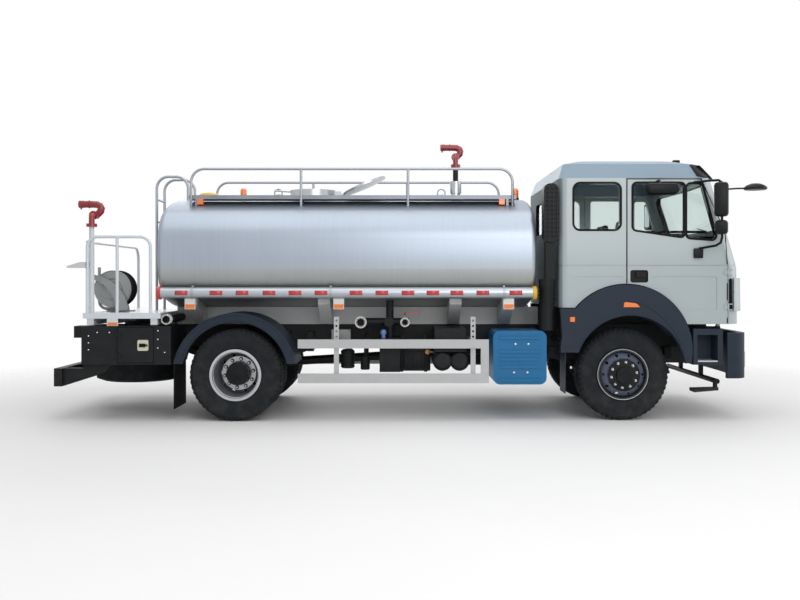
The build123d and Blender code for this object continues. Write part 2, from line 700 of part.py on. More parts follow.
def underrun():
    front = BAR_REAR + BAR_DEPTH
    bar = block(BAR_REAR, front, -BAR_HALF, BAR_HALF, BAR_LOW, BAR_TOP)
    arm = outline([
        (front - 10, BAR_TOP), (STORE_REAR - 8, BAR_TOP), (STORE_REAR + 2, STORE_LOW - SEAT_GAP),
        (STORE_REAR + 330, STORE_LOW - SEAT_GAP), (STORE_REAR + 220, 553), (front - 10, BAR_LOW + 10),
    ])
    for y in (-BAR_HALF + 40, BAR_HALF - 100):
        bar = bar + along_y(arm, y, y + 60)
    strut = outline([
        (front - 10, BAR_TOP), (RAIL_REAR + 5, 900), (RAIL_REAR + 5, 1060), (RAIL_REAR + 190, 1060),
        (RAIL_REAR + 190, 850), (RAIL_REAR - 10, 660), (front - 10, 450),
    ])
    for y in (-RAIL_OUT - SEAT_GAP - 14, RAIL_OUT + SEAT_GAP):
        bar = bar + along_y(strut, y, y + 14)
    return [bar]


FENDER_RADIUS = 720
FENDER_THICK = 15
LIP_DEPTH = 105
FENDER_END = 668
FLAP_LOW = 143


def rear_fenders():
    keep = block(REAR_X - 900, REAR_X + 900, -BODY_HALF, 0, FENDER_END, 1400)
    ring = disc_at(REAR_X, AXLE_Z, FENDER_RADIUS) - disc_at(REAR_X, AXLE_Z, FENDER_RADIUS - FENDER_THICK)
    lip = disc_at(REAR_X, AXLE_Z, FENDER_RADIUS) - disc_at(REAR_X, AXLE_Z, FENDER_RADIUS - LIP_DEPTH)
    inner = -REAR_TRACK_HALF + 290
    shell = along_y(ring, -BODY_HALF, inner) + along_y(lip, -BODY_HALF, -BODY_HALF + FENDER_THICK)
    shell = shell & keep
    for x in (REAR_X - 538, REAR_X + 538):
        shell = shell + rod((x, -RAIL_OUT - SEAT_GAP, 1000), (x, inner - 60, 1000), 20)
    edge = REAR_X - math.sqrt(FENDER_RADIUS ** 2 - (FENDER_END - AXLE_Z) ** 2)
    flap = block(edge - 2, edge + 8, -BODY_HALF + 20, inner - 20, FLAP_LOW, FENDER_END + 40)
    return pair(shell + flap)


GUARD_REAR = REAR_X + 724
GUARD_FRONT = REAR_X + 2930
SIDE_OUT = BODY_HALF - 15
SIDE_IN = SIDE_OUT - 35
GUARD_LOW = [445, 553]  # lower rail's bottom and top
GUARD_HIGH = [846, 949]
GUARD_POSTS = [GUARD_REAR + 416, GUARD_REAR + 1998]
POST_WIDE = 57
POST_TOP = 1210
POST_HOLE = 13
POST_STEP = 62


def side_guards():
    upper = block(GUARD_REAR, GUARD_FRONT, -SIDE_OUT, -SIDE_IN, *GUARD_HIGH)
    lower = block(GUARD_REAR, GUARD_FRONT, -SIDE_OUT, -SIDE_IN, *GUARD_LOW)
    end = block(GUARD_FRONT - 92, GUARD_FRONT, -SIDE_OUT, -SIDE_IN, GUARD_LOW[0], GUARD_HIGH[1])
    guard = fuse(upper, lower, end)
    for x in GUARD_POSTS:
        post = block(x, x + POST_WIDE, -SIDE_IN - 5, -SIDE_IN + 15, GUARD_LOW[0], POST_TOP)
        z = GUARD_HIGH[1] + POST_STEP / 2
        while z < POST_TOP - POST_HOLE:
            post = post - along_y(disc_at(x + POST_WIDE / 2, z, POST_HOLE), -SIDE_OUT, -SIDE_IN + 30)
            z += POST_STEP
        guard = guard + post
        guard = guard + block(x + 5, x + POST_WIDE - 5, -SIDE_IN, -RAIL_OUT - SEAT_GAP, 880, 930)
    return pair(guard)


BLUE_REAR = FRONT_X - 1516
BLUE_FRONT = FRONT_X - 898
BLUE_LOW = 426
BLUE_TOP = 1048
BOX_IN = RAIL_OUT + 130
BLUE_OUT = BODY_HALF - 45
RIB_ZS = [966, 806, 718, 632, 476]
RIB_PROUD = 12


def reagent_tank():
    face = outline([(BLUE_REAR, BLUE_LOW), (BLUE_FRONT, BLUE_LOW), (BLUE_FRONT, BLUE_TOP), (BLUE_REAR, BLUE_TOP)], 80)
    tank = along_y(face, -BLUE_OUT, -BOX_IN)
    for z in RIB_ZS:
        tank = tank + block(BLUE_REAR + 70, BLUE_FRONT - 70, -BLUE_OUT - RIB_PROUD, -BLUE_OUT + 5, z - 16, z + 16)
    for x in (BLUE_REAR + 150, BLUE_FRONT - 150):
        tank = tank + block(x - 30, x + 30, -BOX_IN - 5, -RAIL_OUT - SEAT_GAP, 820, 1000)
    return [tank]


def fuel_tank():
    out = BODY_HALF - 80
    face = outline([(BOX_IN, 480), (out, 480), (out, 1030), (BOX_IN, 1030)], 120)
    tank = along_x(face, FRONT_X - 1700, BLUE_FRONT)
    for x in (FRONT_X - 1600, FRONT_X - 1100):
        tank = tank + block(x - 30, x + 30, RAIL_OUT + SEAT_GAP, BOX_IN + 5, 820, 1000)
    return [tank]


RESERVOIR_Z = 690
RESERVOIR_R = 115
RESERVOIR_DOME = 45


def air_tanks():
    out = BODY_HALF - 100
    box = block(REAR_X + 2308, REAR_X + 2670, -out, -BOX_IN, 800, 1071)
    box = box + block(REAR_X + 2400, REAR_X + 2480, -BOX_IN - 5, -RAIL_OUT - SEAT_GAP, 840, 1000)
    for x in (REAR_X + 2400, REAR_X + 2600):
        can = rod((x, -out, RESERVOIR_Z), (x, -BOX_IN, RESERVOIR_Z), RESERVOIR_R)
        box = box + fillet(can.edges().filter_by(GeomType.CIRCLE), RESERVOIR_DOME)
    return [box]


MANIFOLD_Y = -BODY_HALF + 400
MANIFOLD_Z = 1138
PORTS = [
    dict(x=REAR_X + 1442, radius=50, flange=70, bore=40),
    dict(x=REAR_X + 1963, radius=38, flange=55, bore=30),
]
PORT_FACE = -BODY_HALF + 220
PORT_DEPTH = 70
COUPLING_X = REAR_X - 796
COUPLING_Z = 1180
COUPLING_FACE = -BODY_HALF + 16
COUPLING_BORE = 40
LEVER_Z = 1246
LEVER_LONG = 184


def water_pipes(space):
    pump = block(REAR_X + 1663, REAR_X + 1904, MANIFOLD_Y - 150, -520, 550, 945)
    pump = pump + block(REAR_X + 1740, REAR_X + 1820, -525, -RAIL_OUT - SEAT_GAP, 830, 930)
    pipes = rod((REAR_X + 1380, MANIFOLD_Y, MANIFOLD_Z), (REAR_X + 2010, MANIFOLD_Y, MANIFOLD_Z), 45)
    pipes = pipes + rod((REAR_X + 1783, MANIFOLD_Y, 940), (REAR_X + 1783, MANIFOLD_Y, TANK_BOTTOM + 130), 45)
    total = pump + pipes
    for p in PORTS:
        total = total + rod((p["x"], MANIFOLD_Y, MANIFOLD_Z), (p["x"], PORT_FACE, MANIFOLD_Z), p["radius"])
        total = total + rod((p["x"], PORT_FACE + 22, MANIFOLD_Z), (p["x"], PORT_FACE, MANIFOLD_Z), p["flange"])
    for p in PORTS:
        total = total - rod((p["x"], PORT_FACE - 5, MANIFOLD_Z), (p["x"], PORT_FACE + PORT_DEPTH, MANIFOLD_Z), p["bore"])
    x = PORTS[1]["x"]
    y = PORT_FACE + PORT_DEPTH + 20
    total = total + rod((x, y, MANIFOLD_Z), (x, y, LEVER_Z), 11)
    total = total + block(x - 15, x + LEVER_LONG, y - 14, y + 14, LEVER_Z - 6, LEVER_Z + 6)
    valve = rod((x - 190, MANIFOLD_Y, MANIFOLD_Z), (x - 190, PORT_FACE + 60, MANIFOLD_Z), 58)
    return [total + valve - space, rear_coupling()]


def rear_coupling():
    stub = rod((COUPLING_X, -SUB_OUT - SEAT_GAP, COUPLING_Z), (COUPLING_X, COUPLING_FACE, COUPLING_Z), COUPLING_BORE + 8)
    for back in (0, 60):
        face = COUPLING_FACE + back
        stub = stub + rod((COUPLING_X, face, COUPLING_Z), (COUPLING_X, face + 26, COUPLING_Z), COUPLING_BORE + 18)
    return stub - rod((COUPLING_X, COUPLING_FACE - 5, COUPLING_Z), (COUPLING_X, COUPLING_FACE + PORT_DEPTH, COUPLING_Z),
                      COUPLING_BORE)


SPRAY_X = FRONT_X + 1148
SPRAY_Z = 440


def spray_bar():
    half = BODY_HALF - 250
    bar = rod((SPRAY_X, -half, SPRAY_Z), (SPRAY_X, half, SPRAY_Z), 30)
    for y in (-1, 1):
        bar = bar + block(SPRAY_X - 25, SPRAY_X + 25, y * 405 - 20, y * 405 + 20, SPRAY_Z, RAIL_BOTTOM - SEAT_GAP)
        fan = outline([
            (SPRAY_X + 10, y * (half - 60)), (SPRAY_X + 10, y * (half + 10)),
            (SPRAY_X - 334, y * (half + 200)), (SPRAY_X - 334, y * (half + 10)),
        ])
        bar = bar + along_z(fan, 335, 372)
        bar = bar + rod((SPRAY_X - 18, y * (half - 25), SPRAY_Z), (SPRAY_X - 18, y * (half - 25), 350), 26)
    return [bar]


INTAKE_X = FRONT_X - 848


INTAKE_Y = -BODY_HALF + 106
INTAKE_OUT = -BODY_HALF + 22
HEAD_HALF = 84
HEAD_LOW = 2074
HEAD_TOP = 2754
HEAD_ROUND = 72
HEAD_HOLE = 17
HEAD_COLUMNS = 3
HEAD_ROWS = 12
HEAD_PITCH = 50
CAN_R = 95
CAN_TOP = 1645
CAN_LOW = 1052
FOLD_DEPTH = 9
FOLD_ZS = [1340, 1385, 1430, 1475, 1520]


def air_intake():
    mid = (HEAD_LOW + HEAD_TOP) / 2
    face = Pos(INTAKE_X, mid) * RectangleRounded(2 * HEAD_HALF, HEAD_TOP - HEAD_LOW, HEAD_ROUND)
    head = along_y(face, INTAKE_OUT, INTAKE_OUT + 2 * HEAD_HALF)
    for place in GridLocations(HEAD_PITCH, HEAD_PITCH, HEAD_COLUMNS, HEAD_ROWS):
        spot = disc_at(INTAKE_X + place.position.X, mid + place.position.Y, HEAD_HOLE)
        head = head - along_y(spot, INTAKE_OUT - 5, INTAKE_OUT + 14)
    duct = block(INTAKE_X - 60, INTAKE_X + 50, INTAKE_Y - 56, INTAKE_Y + 64, CAN_TOP - 5, HEAD_LOW + 6)
    x = INTAKE_X - 35
    can = along_z(disc_at(x, INTAKE_Y + 14, CAN_R), CAN_LOW, CAN_TOP)
    for z in FOLD_ZS:
        ring = disc_at(x, INTAKE_Y + 14, CAN_R + 5) - disc_at(x, INTAKE_Y + 14, CAN_R - FOLD_DEPTH)
        can = can - along_z(ring, z, z + FOLD_DEPTH * 2)
    arm = block(INTAKE_X - 60, INTAKE_X, INTAKE_Y + 84, -RAIL_OUT - SEAT_GAP, CAN_LOW, CAN_LOW + 34)
    return [fuse(head, duct, can, arm)]


# Cab body: plan sections with a bowed front, lofted
# height, front x, rear x, half width, front corner radius
CAB_LEVELS = [
    (CAB_BOTTOM, FRONT_X + 1408, CAB_REAR, CAB_HALF, 220),
    (1790, FRONT_X + 1398, CAB_REAR, CAB_HALF, 220),
    (2205, FRONT_X + 1279, CAB_REAR, CAB_HALF, 220),
    (CAB_GUTTER, FRONT_X + 1085, CAB_REAR, CAB_HALF, 220),
]
ROOF_LEVELS = [
    (CAB_GUTTER, FRONT_X + 1085, CAB_REAR, CAB_HALF, 220),
    (2990, FRONT_X + 960, CAB_REAR + 60, CAB_HALF - 90, 240),
    (3045, FRONT_X + 780, CAB_REAR + 240, CAB_HALF - 300, 240),
]
FRONT_BOW = 60
REAR_CORNER = 100


def plan_section(front, rear, half, corner, inset):
    x1 = front - inset
    x0 = rear + inset
    w = half - inset
    edges = [
        Line((x0, w), (x0, -w)),
        Line((x0, -w), (x1 - FRONT_BOW, -w)),
        ThreePointArc((x1 - FRONT_BOW, -w), (x1, 0), (x1 - FRONT_BOW, w)),
        Line((x1 - FRONT_BOW, w), (x0, w)),
    ]
    face = make_face(edges)
    back = face.vertices().sort_by(Axis.X)[:2]
    face = fillet(back, REAR_CORNER - inset * 0.5)
    nose = face.vertices().sort_by(Axis.X)[-2:]
    return fillet(nose, corner - inset * 0.5)


def lofted(levels, inset, drop=0, extend=0):
    faces = []
    for i, (z, front, rear, half, corner) in enumerate(levels):
        low = extend if i == 0 else 0
        faces.append(Pos(0, 0, z - drop - low) * plan_section(front, rear, half, corner, inset))
    return loft(faces, ruled=True)


def cab_ring(outer, inner):
    return lofted(CAB_LEVELS, outer) - lofted(CAB_LEVELS, inner)


LINE_Z = 1798
LINE_TALL = 12
PRESS_DEEP = 5
PRESS_TOP = 1679
PRESS_RIM = 62  # from the flare's edge
# Pressed fields on the side: rear x, front x, bottom z
PRESSINGS = [
    (CAB_REAR + 170, DOOR_REAR - 34, 1352),
    (DOOR_REAR + 300, DOOR_FRONT - 128, 1290),
]
HANDLE = dict(x0=DOOR_REAR + 42, x1=DOOR_REAR + 249, z0=1606, z1=1751, deep=30)


def pressed_skin():
    # The cab's wall with its body line and the shallow fields pressed into its sides.
    far = BODY_HALF + 50
    line = cab_ring(-2, PRESS_DEEP) & block(CAB_REAR - 50, FRONT_X + 1500, -far, far, LINE_Z, LINE_Z + LINE_TALL)
    skin = cab_ring(0, CAB_WALL) - line
    for x0, x1, z0 in PRESSINGS:
        face = Pos((x0 + x1) / 2, (z0 + PRESS_TOP) / 2) * RectangleRounded(x1 - x0, PRESS_TOP - z0, 30)
        face = face - disc_at(FLARE_X, FLARE_Z, FLARE_RADIUS + PRESS_RIM)
        field = along_y(face, -CAB_HALF - 2, -CAB_HALF + PRESS_DEEP)
        skin = skin - field - left(field)
    return skin - lower_cut(MOVE_GAP + 4)


def lower_cut(gap):
    # What the wheel flare, the step and the high rear sill take from the cab.
    arch = along_y(disc_at(FLARE_X, FLARE_Z, FLARE_RADIUS + gap), -BODY_HALF - 50, BODY_HALF + 50)
    sill = block(CAB_REAR - 50, FLARE_X, -BODY_HALF - 50, BODY_HALF + 50, 900, CAB_REAR_BOTTOM)
    return arch + sill


# Window outlines in X and Z, and the windscreen in Y and Z
REAR_SIDE_WINDOW = [
    (FRONT_X - 580, 2225), (FRONT_X - 54, 2225), (FRONT_X - 54, 2748), (FRONT_X - 580, 2748),
]
DOOR_WINDOW = [
    (DOOR_REAR + 78, 2751), (DOOR_REAR + 78, 2223), (FRONT_X + 688, 2137), (FRONT_X + 688, 2751),
]
QUARTER_WINDOW = [
    (FRONT_X + 724, 2745), (FRONT_X + 724, 2130), (FRONT_X + 1062, 2105), (FRONT_X + 890, 2745),
]
DOOR_OUTLINE = [
    (DOOR_REAR, CAB_BOTTOM - 60), (DOOR_FRONT, CAB_BOTTOM - 60), (DOOR_FRONT, 1800), (DOOR_FRONT - 23, 2190),
    (FRONT_X + 890, CAB_GUTTER - MOVE_GAP), (DOOR_REAR, CAB_GUTTER - MOVE_GAP),
]
SCREEN_HALF = 1060
SCREEN_LOW = 2235
SCREEN_TOP = 2770
BACK_WINDOWS = [(-620, -120), (120, 620)]


def window(points, radius, shrink):
    face = outline(points, radius)
    if shrink:
        face = offset(face, amount=-shrink, kind=Kind.ARC)
    return face


def screen_cut(shrink):
    w = SCREEN_HALF - shrink
    face = outline([(-w, SCREEN_LOW + shrink), (w, SCREEN_LOW + shrink), (w, SCREEN_TOP - shrink), (-w, SCREEN_TOP - shrink)],
                   90 - shrink)
    return along_x(face, FRONT_X + 800, FRONT_X + 1500)


def back_cut(shrink):
    total = None
    for y0, y1 in BACK_WINDOWS:
        face = outline([(y0 + shrink, 2225 + shrink), (y1 - shrink, 2225 + shrink), (y1 - shrink, 2640 - shrink), (y0 + shrink, 2640 - shrink)],
                       60 - shrink)
        slab = along_x(face, CAB_REAR - 50, CAB_REAR + 120)
        total = slab if total is None else total + slab
    return total


def both_sides(face):
    return along_y(face, -BODY_HALF - 50, BODY_HALF + 50)


def door_prism(grow):
    face = outline(DOOR_OUTLINE)
    if grow:
        face = offset(face, amount=grow, kind=Kind.INTERSECTION)
    return along_y(face, -BODY_HALF - 50, -CAB_HALF + 300)


def cab_panels():
    ring = pressed_skin()
    far = BODY_HALF + 50
    split = CAB_REAR + CAB_BACK_DEPTH
    back = ring & block(CAB_REAR - 50, split, -far, far, 900, CAB_GUTTER)
    back = back - back_cut(0)
    side = ring & block(split, DOOR_REAR - MOVE_GAP, -far, 0, 900, CAB_GUTTER)
    side = side - both_sides(window(REAR_SIDE_WINDOW, 66, 0))
    nose = ring & block(DOOR_REAR - MOVE_GAP, FRONT_X + 1500, -far, far, 900, CAB_GUTTER)
    hole = door_prism(MOVE_GAP)
    top = block(DOOR_REAR - MOVE_GAP - 1, FRONT_X + 890, -far, far, CAB_GUTTER - 20, CAB_GUTTER)
    nose = nose - hole - left(hole) - top - screen_cut(0)
    for hinge in DOOR_HINGES:
        lug = door_hinge(hinge)[0]
        nose = nose + lug + left(lug)
    for y in (-PIVOT_OUT, PIVOT_IN):
        width = PIVOT_OUT - PIVOT_IN
        arm = block(CAB_PIVOT_X - 8, CAB_PIVOT_X + 28, y, y + width, CAB_PIVOT_Z, CAB_BOTTOM + 20)
        eye = rod((CAB_PIVOT_X, y, CAB_PIVOT_Z), (CAB_PIVOT_X, y + width, CAB_PIVOT_Z), PIVOT_EYE)
        bore = rod((CAB_PIVOT_X, y - 5, CAB_PIVOT_Z), (CAB_PIVOT_X, y + width + 5, CAB_PIVOT_Z), PIVOT_PIN + PIN_GAP)
        nose = nose + arm + eye - bore
    nose = nose + corner_panels()
    roof = lofted(ROOF_LEVELS, 0) - lofted(ROOF_LEVELS, CAB_WALL, 40, 20)
    return dict(cab_back=[back], cab_sides=pair(side), cab_front=[nose], cab_roof=[roof])


CORNER_REAR = FRONT_X + 1262
CORNER_IN = CAB_HALF - 390
CORNER_Z = [1275, 1660]
CORNER_PROUD = 34
CORNER_SLOT = 12


def corner_panels():
    # Air deflectors that stand off the front corners, held along their front part.
    z0, z1 = CORNER_Z
    shell = lofted(CAB_LEVELS, -CORNER_PROUD) - lofted(CAB_LEVELS, -CORNER_SLOT)
    web = lofted(CAB_LEVELS, -CORNER_SLOT - 5) - lofted(CAB_LEVELS, 5)
    far = CAB_HALF + 60
    panel = shell & block(CORNER_REAR, FRONT_X + 1500, -far, -CORNER_IN, z0, z1)
    panel = panel + (web & block(CORNER_REAR + 90, FRONT_X + 1500, -far, -CORNER_IN - 20, z0 + 40, z1 - 40))
    return panel + left(panel)


def door_hinge(z):
    x = DOOR_FRONT + MOVE_GAP / 2
    y = -DOOR_HINGE_Y
    return panel_hinge(x, y, z, (x, x + 50, y, y + 40), (x - 50, x, y, y + 40))


def cab_doors():
    door = pressed_skin() & door_prism(0)
    grip = HANDLE
    pocket = outline([(grip["x0"], grip["z0"]), (grip["x1"], grip["z0"]), (grip["x1"], grip["z1"]), (grip["x0"], grip["z1"])], 28)
    door = door - along_y(pocket, -CAB_HALF - 5, -CAB_HALF + grip["deep"])
    door = door + block(grip["x0"] + 70, grip["x1"] - 20, -CAB_HALF + 2, -CAB_HALF + grip["deep"] + 5, grip["z0"] + 62, grip["z1"] - 22)
    door = door - both_sides(window(DOOR_WINDOW, 40, 0)) - both_sides(window(QUARTER_WINDOW, 40, 0))
    for hinge in DOOR_HINGES:
        _, leaf, bore = door_hinge(hinge)
        leaf = leaf - block(DOOR_FRONT, DOOR_FRONT + 60, -DOOR_HINGE_Y + 1, -CAB_HALF + 80, hinge - 5, hinge + 60)
        door = door + leaf - bore
    return door


def glazing():
    sheet = cab_ring(GLASS_INSET, GLASS_INSET + GLASS_THICK)
    half = sheet & block(CAB_REAR - 50, FRONT_X + 1500, -BODY_HALF, 0, 1900, CAB_GUTTER)
    side = half & both_sides(window(REAR_SIDE_WINDOW, 66, SEAT_GAP))
    fixed = [sheet & screen_cut(SEAT_GAP)] + pair(side) + (sheet & back_cut(SEAT_GAP)).solids()
    door = [half & both_sides(window(DOOR_WINDOW, 40, SEAT_GAP)), half & both_sides(window(QUARTER_WINDOW, 40, SEAT_GAP))]
    return fixed, door


def cab_floor():
    inside = lofted(CAB_LEVELS, CAB_WALL + SEAT_GAP)
    low = CAB_REAR_BOTTOM
    plate = inside & block(CAB_REAR, FRONT_X + 1500, -BODY_HALF, BODY_HALF, low, low + FLOOR_THICK)
    house = disc_at(FLARE_X, FLARE_Z, FLARE_RADIUS + 40)
    for side in (-1, 1):
        out = CAB_HALF - CAB_WALL - MOVE_GAP
        y0, y1 = sorted((side * out, side * (out - 35)))
        wall = along_y(house, y0, y1) & block(CAB_REAR, FRONT_X + 1200, y0, y1, low, 1800)
        plate = plate + wall
    for y in (-DOOR_HINGE_Y, DOOR_HINGE_Y):
        plate = plate - along_z(disc_at(DOOR_FRONT + MOVE_GAP / 2, y, DOOR_SWEEP), low - 10, 1800)
    return [plate]


SEAT_Y = 560


def cab_seats():
    base = CAB_REAR_BOTTOM + FLOOR_THICK + SEAT_GAP
    solids = []
    for y in (-SEAT_Y, SEAT_Y):
        pedestal = block(FRONT_X + 130, FRONT_X + 480, y - 180, y + 180, base, base + 260)
        cushion = block(FRONT_X + 60, FRONT_X + 560, y - 250, y + 250, base + 260, base + 390)
        rest = along_y(outline([(FRONT_X + 60, base + 300), (FRONT_X + 180, base + 300), (FRONT_X + 40, base + 1080), (FRONT_X - 60, base + 1080)], 20), y - 240, y + 240)
        solids.append(fuse(pedestal, cushion, rest))
    half = CAB_HALF - 120
    bunk = block(CAB_REAR + CAB_WALL + 5, CAB_REAR + 560, -half, half, base, base + 420)
    return solids + [bunk]


DASH_REAR = FRONT_X + 830
DASH_SIDE = 250  # room that the doors' front edges sweep


def dashboard():
    inside = lofted(CAB_LEVELS, CAB_WALL + 1)
    face = outline([(DASH_REAR, 1820), (DASH_REAR + 20, 2030), (DASH_REAR + 120, 2150), (FRONT_X + 1400, 2150), (FRONT_X + 1400, 1750), (DASH_REAR + 140, 1700)])
    half = CAB_HALF - DASH_SIDE
    panel = along_y(face, -half, half) & inside
    column = rod((DASH_REAR + 80, SEAT_Y, 1920), (DASH_REAR - 190, SEAT_Y, 2090), 35)
    wheel = Pos(DASH_REAR - 190, SEAT_Y, 2090) * Rot(0, -58, 0) * Torus(215, 15)
    bar = Pos(DASH_REAR - 190, SEAT_Y, 2090) * Rot(0, -58, 0) * Box(30, 430, 24)
    return [fuse(panel, column, wheel, bar)]


def front_flares():
    y0 = -CAB_HALF - FLARE_PROUD
    y1 = -CAB_HALF + CAB_WALL - 5
    arch = disc_at(ARCH_X, ARCH_Z, ARCH_RADIUS)
    rear_edge = CAB_REAR + 10
    tip = FRONT_X + 780
    region = outline([
        (rear_edge, FLARE_TAIL), (FRONT_X, FLARE_TAIL), (FRONT_X, FLARE_TIP), (tip, FLARE_TIP),
        (tip, 1700), (rear_edge, 1700),
    ])
    tail = outline([
        (rear_edge, 1306), (rear_edge + 20, 900), (rear_edge + 110, FLARE_TAIL), (rear_edge + 205, FLARE_TAIL),
        (rear_edge + 220, 1306),
    ])
    plate = (disc_at(FLARE_X, FLARE_Z, FLARE_RADIUS) & region) + tail - arch
    liner = (disc_at(ARCH_X, ARCH_Z, ARCH_RADIUS + LINER_THICK) - arch) & Pos(ARCH_X, 1180) * Rectangle(1400, 400)
    arm = block(rear_edge + 30, rear_edge + 80, y1 - 40, -RAIL_OUT - SEAT_GAP, 900, 950)
    flap = block(rear_edge + 50, rear_edge + 60, y0 + 20, y0 + 350, 325, 905)
    return pair(fuse(along_y(plate, y0, y1), along_y(liner, y1, y1 + 305), arm, flap))


STEP_REAR = FRONT_X + 790
STEP_FRONT = FRONT_X + 1131


STEP_DEEP = 278
STEP_LOW = 691


def cab_steps():
    out = -CAB_HALF - 18
    box = block(STEP_REAR, STEP_FRONT, out, out + STEP_DEEP, 657, 1072)
    box = box - block(STEP_REAR + 46, STEP_FRONT - 60, out - 12, out + STEP_DEEP - 50, STEP_LOW, 1002)
    arm = block(STEP_REAR + 180, STEP_REAR + 240, out + STEP_DEEP - 5, -RAIL_OUT - SEAT_GAP, 880, 960)
    tread = block(STEP_REAR + 50, STEP_FRONT - 64, out - 6, out + STEP_DEEP - 55, STEP_LOW + SEAT_GAP, STEP_LOW + 16)
    for x in (STEP_REAR + 80, STEP_REAR + 130, STEP_REAR + 180, STEP_REAR + 230):
        tread = tread - block(x, x + 20, out + 20, out + STEP_DEEP - 80, STEP_LOW + 8, STEP_LOW + 20)
    return pair(box + arm) + pair(tread)


BUMPER_REAR = FRONT_X + 1183
BUMPER_FRONT = FRONT_X + 1478
BUMPER_LOW = 500
BUMPER_TOP = 1025
BUMPER_HALF = BODY_HALF - 10
TOW_RADIUS = 20


def front_bumper():
    outer = plan_section(BUMPER_FRONT, BUMPER_REAR - 900, BUMPER_HALF, 180, 0)
    inner = plan_section(BUMPER_FRONT, BUMPER_REAR - 900, BUMPER_HALF, 180, 70)
    keep = block(BUMPER_REAR, BUMPER_FRONT + 10, -BODY_HALF, BODY_HALF, BUMPER_LOW, BUMPER_TOP)
    shell = along_z(outer - inner, BUMPER_LOW, BUMPER_TOP) & keep
    for y in (-390, 390):
        shell = shell + block(RAIL_FRONT + SEAT_GAP, BUMPER_FRONT - 60, y - 35, y + 35, RAIL_BOTTOM + 20, RAIL_TOP - 160)
    lug = block(BUMPER_FRONT - 30, BUMPER_FRONT + 70, -60, 60, 560, 600)
    hole = along_z(disc_at(BUMPER_FRONT + 30, 0, TOW_RADIUS), 500, 650)
    return [shell + lug - hole]


def sun_visor():
    skin = lofted(ROOF_LEVELS, -34) - lofted(ROOF_LEVELS, -14)
    half = CAB_HALF - 140
    skin = skin & block(FRONT_X + 780, FRONT_X + 1300, -half, half, CAB_GUTTER + 5, 2980)
    pads = lofted(ROOF_LEVELS, -20) - lofted(ROOF_LEVELS, -SEAT_GAP)
    for y in (-800, 0, 800):
        skin = skin + (pads & block(FRONT_X + 900, FRONT_X + 1300, y - 20, y + 20, 2880, 2920))
    return [skin]


GRILLE_LOW = 1330
GRILLE_TOP = 1720
GRILLE_SLOT = 34
GRILLE_SLOTS = [1370, 1440, 1510, 1580, 1650]


def front_grille():
    sheet = lofted(CAB_LEVELS, -14) - lofted(CAB_LEVELS, -SEAT_GAP)
    half = CAB_HALF - 420
    grille = sheet & block(FRONT_X + 1200, FRONT_X + 1500, -half, half, GRILLE_LOW, GRILLE_TOP)
    for z in GRILLE_SLOTS:
        for y in (-half + 40, 20):
            grille = grille - block(FRONT_X + 1200, FRONT_X + 1500, y, y + half - 60, z, z + GRILLE_SLOT)
    return [grille]


MIRROR_OUT = BODY_HALF + 310
MIRROR_IN = MIRROR_OUT - 230
MIRROR_X = FRONT_X + 1040
ARM_Y = MIRROR_OUT - 120
DISH_RADIUS = 132
DISH_X = FRONT_X + FRONT_REACH - DISH_RADIUS
DISH_Z = 2690


def mirror_box(x0, x1, y0, y1, z0, z1, radius):
    box = block(x0, x1, y0, y1, z0, z1)
    return fillet(box.edges().filter_by(Axis.Z), radius)


def mirrors():
    # The main pair on both doors, the over-door and front dish on the right one.
    root = -CAB_HALF - 1
    head = mirror_box(MIRROR_X - 85, MIRROR_X + 84, -MIRROR_OUT, -MIRROR_IN, 2357, 2740, 45)
    lower = mirror_box(MIRROR_X - 75, MIRROR_X + 74, -MIRROR_OUT, -MIRROR_IN - 20, 2154, 2312, 45)
    arms = tube([(FRONT_X + 800, root, 2765), (FRONT_X + 1050, -ARM_Y, 2765), (FRONT_X + 1050, -ARM_Y, 2040),
                 (FRONT_X + 860, root, 2000)], 14, 60)
    main = fuse(head, lower, arms)
    hood = block(FRONT_X + 198, FRONT_X + 566, -CAB_HALF - 260, -CAB_HALF - 70, 2606, 2738)
    hood = fillet(hood.edges().filter_by(Axis.X), 50)
    hood = hood + rod((FRONT_X + 380, root + 10, 2780), (FRONT_X + 380, -CAB_HALF - 160, 2690), 14)
    bowl = turned([(0, -18), (DISH_RADIUS - 12, -18), (DISH_RADIUS, 0), (DISH_RADIUS * 0.8, 34), (DISH_RADIUS * 0.4, 56), (0, 62)])
    dish = Pos(DISH_X, -CAB_HALF - 60, DISH_Z) * Rot(90, 0, 0) * bowl
    dish = dish + rod((FRONT_X + 1050, -ARM_Y, 2660), (DISH_X, -CAB_HALF - 60, DISH_Z), 11)
    body = lofted(CAB_LEVELS, -SEAT_GAP)
    return fuse(main, dish, hood) - body, left(main) - body


# Lamps, reflectors and plates; x, z of the plates' lower edge
PLATE_XS = [REAR_X - 530, REAR_X + 1194, REAR_X + 3165]
PLATE_HALF = 62
PLATE_LOW = 1297
DECK_PLATE_X = REAR_X - 1418
WALK_LAMP_XS = [REAR_X - 497, REAR_X + 3130]
BEACON_XS = [REAR_X - 114, REAR_X + 3388]
BEACON_R = 42
BEACON_TALL = 118
WORK_LAMP_Z = 1809
HEADLAMP_IN = BODY_HALF - 460
HEADLAMP_OUT = BODY_HALF - 150
HEADLAMP_Z = [620, 800]


